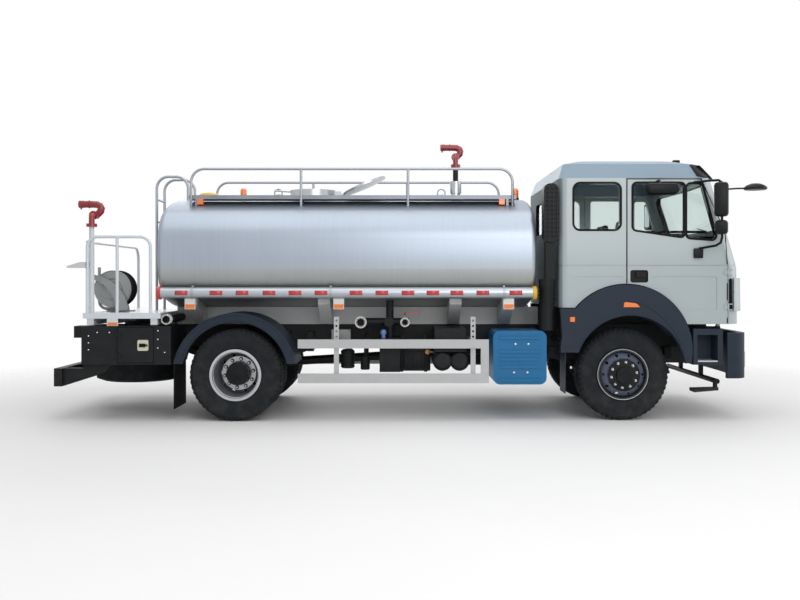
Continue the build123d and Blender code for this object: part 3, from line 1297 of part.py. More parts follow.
def marker_lamps(space):
    y = -TUBE_Y
    under = TUBE_Z - TUBE_RADIUS - SEAT_GAP
    right = [block(x - PLATE_HALF, x + PLATE_HALF, y - 5, y + 5, PLATE_LOW, under) for x in PLATE_XS]
    right.append(block(DECK_PLATE_X - 64, DECK_PLATE_X + 64, -DECK_HALF + 4, -DECK_HALF + 12,
                       STORE_TOP + 2, DECK_TOP - DECK_THICK - SEAT_GAP))
    for x in WALK_LAMP_XS:
        lamp = block(x - 34, x + 34, -PLANK_OUT - 30, -PLANK_OUT + 30, PLANK_BOTTOM - 66, PLANK_BOTTOM - SEAT_GAP)
        right.append(lamp - space)
    tail = STORE_REAR - SEAT_GAP
    right.append(block(tail - 87, tail, -BODY_FACE + 5, -BODY_FACE + 215, 968, STORE_TOP))
    triangle = outline([(-BODY_FACE + 20, 850), (-BODY_FACE + 170, 850), (-BODY_FACE + 95, 930)])
    right.append(along_x(triangle, tail - 9, tail))
    lens = plan_section(BUMPER_FRONT + 9, BUMPER_REAR - 900, BUMPER_HALF + 9, 188, 0)
    lens = lens - plan_section(BUMPER_FRONT + SEAT_GAP, BUMPER_REAR - 900, BUMPER_HALF + SEAT_GAP, 180, 0)
    lens = along_z(lens, *HEADLAMP_Z) & block(FRONT_X, FRONT_X + 1600, -HEADLAMP_OUT, -HEADLAMP_IN, *HEADLAMP_Z)
    right.append(lens)
    solids = [s for shape in right for s in pair(shape)]
    for x in BEACON_XS:
        base = along_z(disc_at(x, 0, BEACON_R + 6), TANK_TOP - 60, TANK_TOP + 34)
        light = along_z(disc_at(x, 0, BEACON_R), TANK_TOP + 30, TANK_TOP + BEACON_TALL)
        light = fillet(light.edges().sort_by(Axis.Z)[-1], BEACON_R / 2)
        solids.append(base + light - space)
    post = DECK_REAR + 47
    wedge = outline([
        (post - 220, WORK_LAMP_Z - 14), (post - 60, WORK_LAMP_Z + 34), (post, WORK_LAMP_Z + 34),
        (post, WORK_LAMP_Z - 34), (post - 210, WORK_LAMP_Z - 34),
    ])
    work = along_y(wedge, -GUARD_Y - 70, -GUARD_Y + 70)
    rail = rod((post, -GUARD_Y, WORK_LAMP_Z - 90), (post, -GUARD_Y, WORK_LAMP_Z + 90), GUARD_R + SEAT_GAP)
    return solids + [work - rail]


def export(name, solids):
    shapes = solids if isinstance(solids, list) else [solids]
    flat = [s for shape in shapes for s in shape.solids()]
    export_step(flat[0] if len(flat) == 1 else Compound(flat), f"parts/{name}.step")


def main():
    os.makedirs("parts", exist_ok=True)
    space = tank_space()
    fixed_glass, door_glass = glazing()
    door = cab_doors()
    mirror_right, mirror_left = mirrors()
    nodes = dict(
        chassis_frame=chassis_frame(), powertrain=powertrain(), front_axle=front_axle(), rear_axle=rear_axle(),
        leaf_springs=leaf_springs(), spare_wheel=spare_wheel(), tank_shell=tank_shell(),
        tank_subframe=tank_subframe(space), hose_tubes=hose_tubes(space), catwalk=catwalk(space),
        ladder=ladder(space), rear_deck=rear_deck(), reel_stand=reel_stand(), hose_reel=hose_reel(),
        top_fittings=top_fittings(space), manhole_lid=manhole_lid(), rear_lockers=rear_lockers(),
        locker_door=locker_door(), underrun_guard=underrun(), rear_fenders=rear_fenders(),
        side_guards=side_guards(), reagent_tank=reagent_tank(), fuel_tank=fuel_tank(), air_tanks=air_tanks(),
        water_pipes=water_pipes(space) + spray_bar(), air_intake=air_intake(), **cab_panels(),
        cab_floor=cab_floor(), cab_glass=fixed_glass, cab_seats=cab_seats(), dashboard=dashboard(),
        door_right=door, door_left=left(door), door_glass_right=door_glass,
        door_glass_left=[left(g) for g in door_glass], mirrors_right=mirror_right, mirrors_left=mirror_left,
        front_flares=front_flares(), cab_steps=cab_steps(), front_bumper=front_bumper(),
        cab_trim=sun_visor() + front_grille(), marker_lamps=marker_lamps(space),
        knuckle_right=knuckle_right(), knuckle_left=left(knuckle_right()),
        front_tyre_right=front_tyre_right(), front_tyre_left=left(front_tyre_right()),
        front_rim_right=front_rim_right(), front_rim_left=left(front_rim_right()),
        rear_tyres_right=rear_tyres_right(), rear_tyres_left=[left(s) for s in rear_tyres_right()],
        rear_rims_right=rear_rims_right(), rear_rims_left=left(rear_rims_right()),
    )
    for name in CANNONS:
        nodes[f"{name}_turret"] = turret(name)
        nodes[f"{name}_nozzle"] = nozzle(name)
    for name, solids in nodes.items():
        export(name, solids)


main()
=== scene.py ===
import math

import bmesh
import bpy
from mathutils import Matrix, Vector
from mathutils.bvhtree import BVHTree


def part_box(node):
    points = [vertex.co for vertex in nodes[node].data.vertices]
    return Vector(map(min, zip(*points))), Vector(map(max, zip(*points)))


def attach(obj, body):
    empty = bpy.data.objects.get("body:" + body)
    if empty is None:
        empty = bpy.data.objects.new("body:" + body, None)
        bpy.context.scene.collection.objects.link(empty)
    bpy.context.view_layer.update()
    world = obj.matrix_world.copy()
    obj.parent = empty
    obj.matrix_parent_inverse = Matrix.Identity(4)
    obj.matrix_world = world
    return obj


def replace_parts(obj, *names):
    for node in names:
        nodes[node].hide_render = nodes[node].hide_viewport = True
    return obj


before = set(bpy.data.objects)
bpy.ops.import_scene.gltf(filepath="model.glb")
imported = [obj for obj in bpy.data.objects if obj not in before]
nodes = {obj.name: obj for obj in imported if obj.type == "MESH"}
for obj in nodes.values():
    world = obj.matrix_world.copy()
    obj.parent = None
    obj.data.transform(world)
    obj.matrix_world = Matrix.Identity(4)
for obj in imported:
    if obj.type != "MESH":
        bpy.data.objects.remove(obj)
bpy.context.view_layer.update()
sides = (("right", -1), ("left", 1))
far = 99.0  # open end of a range
print("frame loaded:", len(nodes), "nodes")


# shader maths: a socket that takes part in sums
class Wire:
    def __init__(self, paint, socket):
        self.paint = paint
        self.socket = socket

    def calc(self, operation, first, second):
        return self.paint.add("ShaderNodeMath", {"operation": operation}, {0: first, 1: second})

    def __add__(self, other):
        return self.calc("ADD", self, other)

    def __radd__(self, other):
        return self.calc("ADD", other, self)

    def __sub__(self, other):
        return self.calc("SUBTRACT", self, other)

    def __rsub__(self, other):
        return self.calc("SUBTRACT", other, self)

    def __mul__(self, other):
        return self.calc("MULTIPLY", self, other)

    def __rmul__(self, other):
        return self.calc("MULTIPLY", other, self)

    def above(self, low, high):
        # 0 below low, 1 above high
        return self.paint.add("ShaderNodeMapRange", {"clamp": True},
                              {"Value": self, "From Min": low, "From Max": high})


class Tree:
    def __init__(self, tree, shader):
        self.tree = tree
        self.shader = tree.nodes[shader]

    def add(self, kind, settings=None, sockets=None, out=0):
        node = self.tree.nodes.new(kind)
        for key, value in (settings or {}).items():
            setattr(node, key, value)
        for key, value in (sockets or {}).items():
            self.feed(node.inputs[key], value)
        return Wire(self, node.outputs[out])

    def feed(self, socket, value):
        if isinstance(value, Wire):
            self.tree.links.new(value.socket, socket)
        else:
            socket.default_value = value

    def set(self, key, value):
        self.feed(self.shader.inputs[key], value)


class Paint(Tree):
    def __init__(self, name, fixed=None):
        self.material = bpy.data.materials.new(name)
        self.material.use_nodes = True
        super().__init__(self.material.node_tree, "Principled BSDF")
        for key, value in (fixed or {}).items():
            self.set(key, value)

    def place(self, stretch=(1, 1, 1)):
        # object coordinates in metres, stretched
        spot = self.add("ShaderNodeTexCoord", out=3)
        return self.add("ShaderNodeVectorMath", {"operation": "MULTIPLY"}, {0: spot, 1: stretch})

    def height(self):
        return self.add("ShaderNodeSeparateXYZ", None, {0: self.place()}, out=2)

    def noise(self, scale, detail=3, stretch=(1, 1, 1)):
        return self.add("ShaderNodeTexNoise", None,
                        {"Vector": self.place(stretch), "Scale": scale, "Detail": detail})

    def wave(self, direction, scale):
        return self.add("ShaderNodeTexWave", {"wave_type": "BANDS", "bands_direction": direction},
                        {"Vector": self.place(), "Scale": scale})

    def mix(self, share, first, second):
        # sockets 6 and 7 are the colour pair, output 2 the colour
        return self.add("ShaderNodeMix", {"data_type": "RGBA"}, {0: share, 6: first, 7: second}, out=2)

    def bump(self, height, depth, strength=0.4):
        return self.add("ShaderNodeBump", None, {"Height": height, "Distance": depth, "Strength": strength})


def rgb(r, g, b):
    # screen colour 0-255 to linear
    return tuple(((c / 255 + 0.055) / 1.055) ** 2.4 if c > 10 else c / 3295 for c in (r, g, b)) + (1,)


def shade(colour, factor):
    return tuple(c * factor for c in colour[:3]) + (1,)


dust = {
    "height": (0.3, 1.3), "noise": (9, 5), "edge": (0.42, 0.72), "colour": (128, 122, 112), "dull": 0.3,
}


def varied(name, screen, rough, tone, scale, grain, depth, dustAndShadeBelow, fixed=None):
    # a painted or moulded surface: slow tone change, fine grain, road dust low down
    paint = Paint(name, fixed)
    colour = rgb(*screen)
    cloud = paint.noise(scale)
    body = paint.mix(cloud, shade(colour, 1 - tone), shade(colour, 1 + tone))
    roughness = rough + (cloud - 0.5) * 0.12
    if dustAndShadeBelow:
        patch = paint.noise(*dust["noise"]).above(*dust["edge"])
        low = (1 - paint.height().above(*dust["height"])) * patch * dustAndShadeBelow
        body = paint.mix(low, body, rgb(*dust["colour"]))
        roughness = roughness + low * dust["dull"]
    paint.set("Base Color", body)
    paint.set("Roughness", roughness)
    if grain:
        paint.set("Normal", paint.bump(paint.noise(grain, 2), depth))
    return paint.material


# colours of the tank's skin: the pair above the edge height is bluer, a painted sky reflection; the pair
# below is warmer and a little darker, painted shade
tankSkin = {
    "grain": (70, 3, (1, 0.03, 0.03)), "sheet": (0.5, 1, (1.3, 0.2, 0.2)), "edge": (1.66, 1.86),
    "dustAndShadeBelow": ((149, 152, 152), (180, 182, 179)), "skyLitAbove": ((143, 152, 165), (174, 183, 194)),
}


def brushedTank():
    # fine lines round the barrel, slow tone change from sheet to sheet, a painted sky reflection above the
    # edge height and painted shade below: bluer above, warmer and a little darker below
    paint = Paint("brushedTank", {"Metallic": 0.8})
    grain = paint.noise(*tankSkin["grain"])
    lines = grain * 0.4 + paint.noise(*tankSkin["sheet"]) * 0.6
    dustAndShadeBelow, skyLitAbove = (paint.mix(lines, *(rgb(*c) for c in tankSkin[key])) for key in ("dustAndShadeBelow", "skyLitAbove"))
    paint.set("Base Color", paint.mix(paint.height().above(*tankSkin["edge"]), dustAndShadeBelow, skyLitAbove))
    paint.set("Roughness", 0.33 + grain * 0.12)
    paint.set("Normal", paint.bump(grain, 0.0003, 0.1))
    return paint.material


def glassSheet():
    paint = Paint("windowGlass", {"Transmission Weight": 1.0, "IOR": 1.1})
    tint = rgb(230, 238, 236)
    smear = paint.noise(3)
    paint.set("Base Color", paint.mix(smear, shade(tint, 0.94), tint))
    paint.set("Roughness", smear * 0.03)
    return paint.material


def lensCover(name, colour, glow):
    # moulded prisms behind a clear face
    paint = Paint(name, {"Coat Weight": 1.0, "Coat Roughness": 0.04, "Emission Strength": glow})
    ribs = paint.wave("X", 60.0)
    paint.set("Base Color", paint.mix(ribs, shade(colour, 0.75), colour))
    paint.set("Roughness", 0.12 + ribs * 0.12)
    paint.set("Emission Color", paint.mix(ribs, shade(colour, 0.8), colour))
    paint.set("Normal", paint.bump(ribs, 0.001, 0.3))
    return paint.material


def gripPlate():
    # raised lozenges on the walkway planks
    paint = Paint("gripPlate", {"Metallic": 0.7})
    cells = paint.add("ShaderNodeTexVoronoi", {"feature": "F1"},
                      {"Vector": paint.place((1, 0.6, 1)), "Scale": 40.0, "Randomness": 0.0})
    cloud = paint.noise(5)
    paint.set("Base Color", paint.mix(cloud, rgb(116, 122, 130), rgb(150, 156, 164)))
    paint.set("Roughness", 0.36 + cloud * 0.16)
    paint.set("Normal", paint.bump(1 - cells, 0.003, 0.5))
    return paint.material


def wovenCloth():
    paint = Paint("seatWeave", {"Sheen Weight": 0.4})
    weave = paint.wave("Y", 160.0) * paint.wave("Z", 160.0)
    paint.set("Base Color", paint.mix(weave, rgb(70, 74, 82), rgb(112, 117, 126)))
    paint.set("Roughness", 0.85 + weave * 0.1)
    paint.set("Normal", paint.bump(weave, 0.001, 0.4))
    return paint.material


def dull(level):
    return {"Specular IOR Level": level}


def coat(weight):
    return {"Coat Weight": weight}


def metal(share):
    return {"Metallic": share}


# columns: screen colour, roughness, tone change and its scale, grain scale and depth, dust, other sockets
coats = {
    "cabPaint": ((167, 178, 180), 0.3, 0.025, 1.5, 120, 0.0002, 0.12,
                 {**coat(0.5), "Coat Roughness": 0.1}),
    # a darker, bluer copy of the cab paint for the roof: painted sky reflection and shade
    "skyShadedRoofPaint": ((140, 160, 176), 0.4, 0.03, 1.5, 120, 0.0002, 0, {**coat(0.15), **dull(0.3)}),
    # a darker, duller copy of the cab paint: the darker colour is painted shade between cab and tank
    "shadedBackPaint": ((138, 148, 152), 0.75, 0.05, 1.5, 120, 0.0002, 0.12, dull(0.1)),
    "whitePaint": ((184, 186, 187), 0.38, 0.035, 4, 140, 0.0003, 0.12, coat(0.3)),
    "deckWhite": ((216, 222, 228), 0.38, 0.03, 4, 140, 0.0003, 0.06, coat(0.3)),
    "tubeMetal": ((172, 178, 184), 0.34, 0.03, 5, 0, 0, 0, metal(0.75)),
    "railMetal": ((160, 164, 170), 0.4, 0.04, 6, 0, 0, 0, metal(0.7)),
    "greySteel": ((150, 152, 152), 0.45, 0.08, 9, 200, 0.0004, 0.1, metal(0.3)),
    "chassisBlack": ((20, 22, 25), 0.48, 0.22, 5, 180, 0.0005, 0.06, dull(0.22)),
    "slatePlastic": ((36, 46, 58), 0.5, 0.06, 3, 900, 0.0004, 0.06, dull(0.2)),
    "blackPlastic": ((15, 17, 19), 0.45, 0.15, 6, 900, 0.0004, 0.03, dull(0.2)),
    "tyreRubber": ((25, 29, 33), 0.7, 0.16, 7, 260, 0.0006, 0.1, dull(0.2)),
    "rimSilver": ((186, 188, 192), 0.32, 0.06, 12, 160, 0.0003, 0.08, metal(0.7)),
    "rimDark": ((118, 127, 146), 0.3, 0.05, 4, 0, 0, 0.06, metal(0.4)),
    # rimEdge darkens the front rims' outer band and, as painted shade, the rear rims' recessed disc; rimShade
    # is a darker copy of the rim silver, painted shade in the rear rims' barrel
    "rimEdge": ((46, 48, 52), 0.36, 0.1, 12, 160, 0.0003, 0.06, dull(0.3)),
    "rimShade": ((124, 127, 132), 0.36, 0.06, 12, 0, 0, 0.06, metal(0.5)),
    "hubBlack": ((14, 17, 20), 0.36, 0.2, 12, 300, 0.0004, 0.06, dull(0.18)),
    "bluePlastic": ((14, 104, 153), 0.42, 0.06, 3, 600, 0.0004, 0.08, dull(0.35)),
    "cannonRed": ((142, 16, 27), 0.34, 0.12, 16, 160, 0.0006, 0, coat(0.4)),
    "castMetal": ((46, 48, 52), 0.62, 0.2, 8, 120, 0.001, 0.1, metal(0.3)),
    "alloy": ((190, 192, 195), 0.3, 0.07, 8, 160, 0.0003, 0.1, metal(0.8)),
    "redStrip": ((190, 38, 46), 0.3, 0.06, 60, 500, 0.0003, 0, coat(0.6)),
    "orangeStrip": ((235, 125, 45), 0.35, 0.06, 60, 500, 0.0003, 0, coat(0.4)),
    "plateWhite": ((222, 221, 216), 0.35, 0.03, 60, 500, 0.0003, 0, coat(0.4)),
    "creamPlate": ((212, 206, 184), 0.35, 0.06, 30, 300, 0.0003, 0, coat(0.4)),
    "yellow": ((222, 172, 40), 0.42, 0.08, 8, 200, 0.0004, 0),
    "rubberSeal": ((16, 16, 18), 0.6, 0.2, 12, 300, 0.0004, 0, dull(0.15)),
    "capBlue": ((110, 140, 200), 0.4, 0.06, 20, 300, 0.0003, 0),
    "brass": ((170, 128, 82), 0.35, 0.1, 30, 300, 0.0003, 0, metal(0.8)),
    "brightNut": ((206, 206, 204), 0.24, 0.08, 40, 400, 0.0002, 0, metal(0.95)),
    "mirrorGlass": ((214, 220, 224), 0.04, 0.02, 4, 60, 0.0001, 0, metal(1.0)),
}
finishes = {name: varied(name, *row) for name, row in coats.items()}
finishes.update({
    "tankMetal": brushedTank(), "gripPlate": gripPlate(), "glass": glassSheet(), "seatCloth": wovenCloth(),
    "amberLens": lensCover("amberLens", rgb(240, 120, 30), 0.2),
    "redLens": lensCover("redLens", rgb(186, 24, 28), 0.2),
    "clearLens": lensCover("clearLens", rgb(206, 212, 216), 0.05),
})
print("finishes made:", len(finishes))

# finish of each node that the model brings
nodeFinish = {
    "tankMetal": ["tank_shell"],
    "whitePaint": ["tank_subframe", "side_guards"],
    "deckWhite": ["rear_deck"],
    "railMetal": ["ladder"],
    "tubeMetal": ["hose_tubes"],
    "gripPlate": ["catwalk"],
    "greySteel": ["reel_stand", "hose_reel"],
    "alloy": ["top_fittings", "manhole_lid"],
    "chassisBlack": [
        "chassis_frame", "front_axle", "rear_axle", "leaf_springs", "rear_lockers", "locker_door",
        "underrun_guard", "air_tanks", "fuel_tank", "water_pipes", "cab_floor", "knuckle_right",
        "knuckle_left"],
    "castMetal": ["powertrain"],
    "slatePlastic": ["rear_fenders", "front_flares", "cab_steps", "front_bumper"],
    "blackPlastic": ["air_intake", "dashboard", "cab_trim", "mirrors_right", "mirrors_left"],
    "tyreRubber": [
        "spare_wheel", "front_tyre_right", "front_tyre_left", "rear_tyres_right", "rear_tyres_left"],
    "rimDark": ["front_rim_right", "front_rim_left"],
    "rimSilver": ["rear_rims_right", "rear_rims_left"],
    "bluePlastic": ["reagent_tank"],
    "amberLens": ["marker_lamps"],
    "cabPaint": ["cab_back", "cab_sides", "cab_front", "door_right", "door_left"],
    # the roof takes the cab paint with painted sky reflection and shade
    "skyShadedRoofPaint": ["cab_roof"],
    "glass": ["cab_glass", "door_glass_right", "door_glass_left"],
    "seatCloth": ["cab_seats"],
    "cannonRed": ["rear_turret", "rear_nozzle", "front_turret", "front_nozzle"],
}
for finish, names in nodeFinish.items():
    for name in names:
        mesh = nodes[name].data
        mesh.materials.clear()
        mesh.materials.append(finishes[finish])


def refinish(name, finish, axle=(0, 0), leave=None, **limits):
    # a second finish on the faces whose measures all lie within their limits, apart from those to leave
    mesh = nodes[name].data
    mesh.materials.append(finishes[finish])
    last = len(mesh.materials) - 1
    for face in mesh.polygons:
        c, n = face.center, face.normal
        sizes = {
            "x": c.x, "y": c.y, "z": c.z, "wide": abs(c.y), "ahead": n.x, "upward": n.z, "inward": -n.y * c.y,
            "lengthwise": abs(n.x), "sideways": abs(n.y), "radius": math.hypot(c.x - axle[0], c.z - axle[1]),
        }
        chosen, spared = (all(low < sizes[key] < high for key, (low, high) in ranges.items())
                          for ranges in (limits, leave or {}))
        if chosen and not (leave and spared):
            face.material_index = last


def piece(name, bm, body, finish, smooth):
    mesh = bpy.data.meshes.new(name)
    bmesh.ops.recalc_face_normals(bm, faces=bm.faces[:])
    bm.to_mesh(mesh)
    bm.free()
    mesh.materials.append(finishes[finish])
    made = bpy.data.objects.new(name, mesh)
    bpy.context.scene.collection.objects.link(made)
    mesh.shade_smooth()
    mesh.set_sharp_from_angle(angle=math.radians(smooth))
    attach(made, body)
    return made


def bridge(bm, rows):
    # quads between closed rings of like count
    for first, second in zip(rows, rows[1:]):
        for i in range(len(first)):
            j = (i + 1) % len(first)
            bm.faces.new((first[i], first[j], second[j], second[i]))


def closeEnds(bm, rows):
    bm.faces.new(rows[0])
    bm.faces.new(rows[-1][::-1])


def addBox(bm, low, high, bevel, turn=None):
    centre = (Vector(low) + Vector(high)) / 2
    size = Vector(high) - Vector(low)
    matrix = Matrix.Translation(centre) @ (turn or Matrix()) @ Matrix.Diagonal((*size, 1))
    verts = bmesh.ops.create_cube(bm, size=1, matrix=matrix)["verts"]
    edges = list({e for v in verts for e in v.link_edges})
    bmesh.ops.bevel(bm, geom=edges, offset=bevel, segments=2, profile=0.5, affect="EDGES")


def addRound(bm, centre, axis, profile, segments):
    # a turned form: profile of (radius, offset along the axis)
    turn = Vector((0, 0, 1)).rotation_difference(Vector(axis)).to_matrix().to_4x4()
    matrix = Matrix.Translation(centre) @ turn
    angles = [2 * math.pi * i / segments for i in range(segments)]
    rings = []
    for radius, along in profile:
        count = segments if radius else 1
        spots = [Vector((radius * math.cos(a), radius * math.sin(a), along)) for a in angles[:count]]
        rings.append([bm.verts.new(matrix @ spot) for spot in spots])
    for first, second in zip(rings, rings[1:]):
        for i in range(segments):
            j = (i + 1) % segments
            corners = [ring[k % len(ring)] for ring, k in ((first, i), (first, j), (second, j), (second, i))]
            corners = list(dict.fromkeys(corners))
            if len(corners) > 2:
                bm.faces.new(corners)


def turned(name, body, finish, smooth, forms):
    # a piece of turned forms: centre, axis, profile and segments of each
    bm = bmesh.new()
    for form in forms:
        addRound(bm, *form)
    return piece(name, bm, body, finish, smooth)


def addTube(bm, points, radius, count):
    # a bent round bar through the points, mitred at the corners
    points = [Vector(p) for p in points]
    angles = [2 * math.pi * k / count for k in range(count)]
    rings = []
    side = None
    for i, point in enumerate(points):
        before = (point - points[i - 1]).normalized() if i else None
        after = (points[i + 1] - point).normalized() if i < len(points) - 1 else None
        along = ((before or after) + (after or before)).normalized()
        if side is None:
            side = along.orthogonal().normalized()
        side = (side - along * side.dot(along)).normalized()
        up = along.cross(side)
        grow = radius / max(0.5, along.dot(before or after))
        spots = [point + side * math.cos(a) * grow + up * math.sin(a) * grow for a in angles]
        rings.append([bm.verts.new(spot) for spot in spots])
    bridge(bm, rings)
    closeEnds(bm, rings)


def rectangle(x0, x1, z0, z1):
    return [(x0, z0), (x1, z0), (x1, z1), (x0, z1)]


def rounded(corners, radius, steps=5):
    # a closed outline in two axes with rounded corners
    out = []
    count = len(corners)
    for i in range(count):
        here = Vector(corners[i])
        back = (Vector(corners[i - 1]) - here).normalized()
        ahead = (Vector(corners[(i + 1) % count]) - here).normalized()
        half = back.angle(ahead) / 2
        reach = radius / math.tan(half)
        centre = here + (back + ahead).normalized() * radius / math.sin(half)
        first = here + back * reach - centre
        last = here + ahead * reach - centre
        for k in range(steps + 1):
            out.append(centre + first.lerp(last, k / steps).normalized() * radius)
    return out


def onSide(sign, face):
    # turns an outline (x, z) and a depth into a point on one side of the truck
    return lambda p, d: (p.x, sign * (face + d), p.y)


def addPrism(bm, outline, place, deep, edge):
    # a flat form with a chamfered front, its back 2 mm in
    outline = [Vector(p) for p in outline]
    middle = sum(outline, Vector((0, 0))) / len(outline)
    inner = [p + (middle - p).normalized() * edge for p in outline]
    rings = [[bm.verts.new(place(p, d)) for p in ring] for ring, d in
             ((outline, -0.002), (outline, deep - edge), (inner, deep))]
    bridge(bm, rings)
    closeEnds(bm, rings)


def addPlate(bm, area, place, corner, deep, edge):
    addPrism(bm, rounded(rectangle(*area), corner), place, deep, edge)


# where a straight line first meets a node
skins = {}


def meets(name, start, aim):
    if name not in skins:
        mesh = nodes[name].data
        skins[name] = BVHTree.FromPolygons([v.co.copy() for v in mesh.vertices],
                                           [f.vertices[:] for f in mesh.polygons])
    return skins[name].ray_cast(Vector(start), Vector(aim))[:2]


# road tyres: rings with cut tread, in place of the plain solids
tyre = {
    "around": 312, "lugs": 52, "outer": 0.535, "lip": 0.5345, "shoulder": 0.5335,
    "shoulders": (0.096, 0.084, 0.072), "shoulderFrom": 0.07,
    "grooves": (0.062, 0.021, -0.021, -0.062), "groove": 0.013, "grooveHalf": 0.006, "slope": (0.0012, 0.001),
    "ribs": (0.013, 0.0205, 0.028), "ribEdge": 0.0205, "ribShifts": (2, 4, 1), "ribCut": 0.6,
    "side": (  # radius, offset, share of tread cut
        (0.3005, 0.112, 0), (0.309, 0.119, 0), (0.318, 0.1235, 0), (0.322, 0.1215, 0), (0.35, 0.129, 0),
        (0.40, 0.1375, 0), (0.45, 0.14, 0), (0.474, 0.1385, 0), (0.478, 0.141, 0), (0.486, 0.1405, 0),
        (0.49, 0.1365, 0), (0.505, 0.130, 0.6), (0.519, 0.1205, 1), (0.5285, 0.1135, 1)),
}


def tyreRings():
    # from one bead over the tread to the other
    lip, (out, into) = tyre["lip"], tyre["slope"]
    floor = lip - tyre["groove"]
    tread = [(tyre["shoulder"], offset, 1) for offset in tyre["shoulders"]]
    for groove in tyre["grooves"]:
        high = groove + tyre["grooveHalf"]
        low = groove - tyre["grooveHalf"]
        tread += [(lip, high + out, 1), (floor, high - into, 0), (floor, low + into, 0), (lip, low - out, 1)]
        if groove != tyre["grooves"][-1]:
            tread += [(tyre["outer"], groove - step, 1) for step in tyre["ribs"]]
    tread += [(tyre["shoulder"], -offset, 1) for offset in reversed(tyre["shoulders"])]
    return [*tyre["side"], *tread] + [(r, -u, s) for r, u, s in reversed(tyre["side"])]


def addTyre(bm, x, y, z, sign):
    count = tyre["around"]
    pitch = count // tyre["lugs"]
    rows = []
    for radius, offset, share in tyreRings():
        outside = abs(offset) > tyre["shoulderFrom"]
        rib = (offset <= tyre["ribEdge"]) + (offset <= -tyre["ribEdge"])
        shift, wide, deep = (0, 2, 1.0) if outside else (tyre["ribShifts"][rib], 1, tyre["ribCut"])
        row = []
        for i in range(count):
            cut = tyre["groove"] * share * deep if (i % pitch + shift) % pitch < wide else 0
            angle = 2 * math.pi * i / count
            r = radius - cut
            row.append(bm.verts.new((x + r * math.sin(angle), y + offset * sign, z + r * math.cos(angle))))
        rows.append(row)
    bridge(bm, rows + rows[:1])


wheels = {
    "frontX": 2.492, "rearX": -2.008, "hubZ": 0.535, "frontY": 1.010, "rearY": 0.930, "twin": 0.160,
    "nuts": 10, "firstNut": 0.22,
    "frontNuts": (1.196, 0.1475, 0.014), "rearNuts": (0.961, 0.1695, 0.013),  # place, ring, size
    "nut": (  # share of the size, height
        (0, 0), (1.25, 0), (1.25, 0.004), (1, 0.006), (1, 0.022), (0.7, 0.027), (0.45, 0.027), (0.45, 0.036),
        (0, 0.037)),
    "washerY": 0.9605, "plateY": 0.954, "stepY": 1.192, "lineY": 1.138,
    "washer": ((0, 0), (0.0225, 0), (0.0225, 0.0022), (0, 0.0022)),
    "plate": ((0.1392, -0.001), (0.201, -0.001), (0.203, 0.003), (0.199, 0.007), (0.143, 0.007),
              (0.1392, 0.004)),
    "step": ((0.2645, -0.002), (0.2655, 0.003), (0.262, 0.006), (0.2585, 0.004), (0.258, -0.004)),
    "line": ((0.288, -0.001), (0.290, 0.003), (0.295, 0.0035), (0.2975, -0.001)),
}
for side, sign in sides:
    bm = bmesh.new()
    addTyre(bm, wheels["frontX"], sign * wheels["frontY"], wheels["hubZ"], sign)
    made = piece(f"frontTread_{side}", bm, f"front_wheel_{side}", "tyreRubber", 40)
    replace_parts(made, f"front_tyre_{side}")
    bm = bmesh.new()
    for twin in (-1, 1):
        addTyre(bm, wheels["rearX"], sign * wheels["rearY"] + twin * wheels["twin"], wheels["hubZ"], sign)
    made = piece(f"rearTread_{side}", bm, f"rear_wheels_{side}", "tyreRubber", 40)
    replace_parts(made, f"rear_tyres_{side}")
print("tyres made")


def nutSpots(x, y, ring):
    for i in range(wheels["nuts"]):
        angle = 2 * math.pi * (i + wheels["firstNut"]) / wheels["nuts"]
        yield x + ring * math.sin(angle), y, wheels["hubZ"] + ring * math.cos(angle)


def nutForms(x, sign, place, ring, size):
    profile = [(share * size, up) for share, up in wheels["nut"]]
    return [(spot, (0, sign, 0), profile, 6) for spot in nutSpots(x, sign * place, ring)]


for side, sign in sides:
    frontX, rearX, hubZ = wheels["frontX"], wheels["rearX"], wheels["hubZ"]
    front, rear, axis = f"front_wheel_{side}", f"rear_wheels_{side}", (0, sign, 0)
    turned(f"frontNuts_{side}", front, "brightNut", 30, nutForms(frontX, sign, *wheels["frontNuts"]))
    turned(f"rearNuts_{side}", rear, "brightNut", 30, nutForms(rearX, sign, *wheels["rearNuts"]))
    turned(f"rearPlate_{side}", rear, "rimSilver", 30,
           [((rearX, sign * wheels[key + "Y"], hubZ), axis, wheels[key], 64) for key in ("plate", "step")])
    spots = nutSpots(rearX, sign * wheels["washerY"], wheels["rearNuts"][1])
    turned(f"rearWashers_{side}", rear, "hubBlack", 30,
           [(spot, axis, wheels["washer"], 20) for spot in spots])
    turned(f"frontLine_{side}", front, "rimSilver", 40,
           [((frontX, sign * wheels["lineY"], hubZ), axis, wheels["line"], 72)])
    refinish(f"front_rim_{side}", "hubBlack", (frontX, hubZ), radius=(-far, 0.19))
    refinish(f"front_rim_{side}", "rimEdge", (frontX, hubZ), radius=(0.252, far))
    # painted shade in the rear rims' recess: the disc face dark, the barrel a darker copy of the rim silver
    refinish(f"rear_rims_{side}", "rimEdge", sideways=(0.9, far), wide=(-far, 1.0))
    refinish(f"rear_rims_{side}", "rimShade", sideways=(-far, 0.5), wide=(0.95, 1.19))
    refinish(f"rear_rims_{side}", "hubBlack", (rearX, hubZ), radius=(-far, 0.1385))
print("wheel fittings made")

# window seals, flat on the cab's sides
glazing = {
    "face": 1.2205, "width": 0.024,
    "section": ((0, -0.012), (0, 0.0036), (0.5, 0.006), (1, 0.003), (1, -0.001)),  # share of the width, depth
    "rearSide": (rectangle(1.912, 2.438, 2.225, 2.748), 0.066),  # outline, corner radius
    "door": ([(2.594, 2.751), (2.594, 2.223), (3.180, 2.137), (3.180, 2.751)], 0.04),
    "quarter": ([(3.216, 2.745), (3.216, 2.130), (3.554, 2.105), (3.382, 2.745)], 0.04),
}


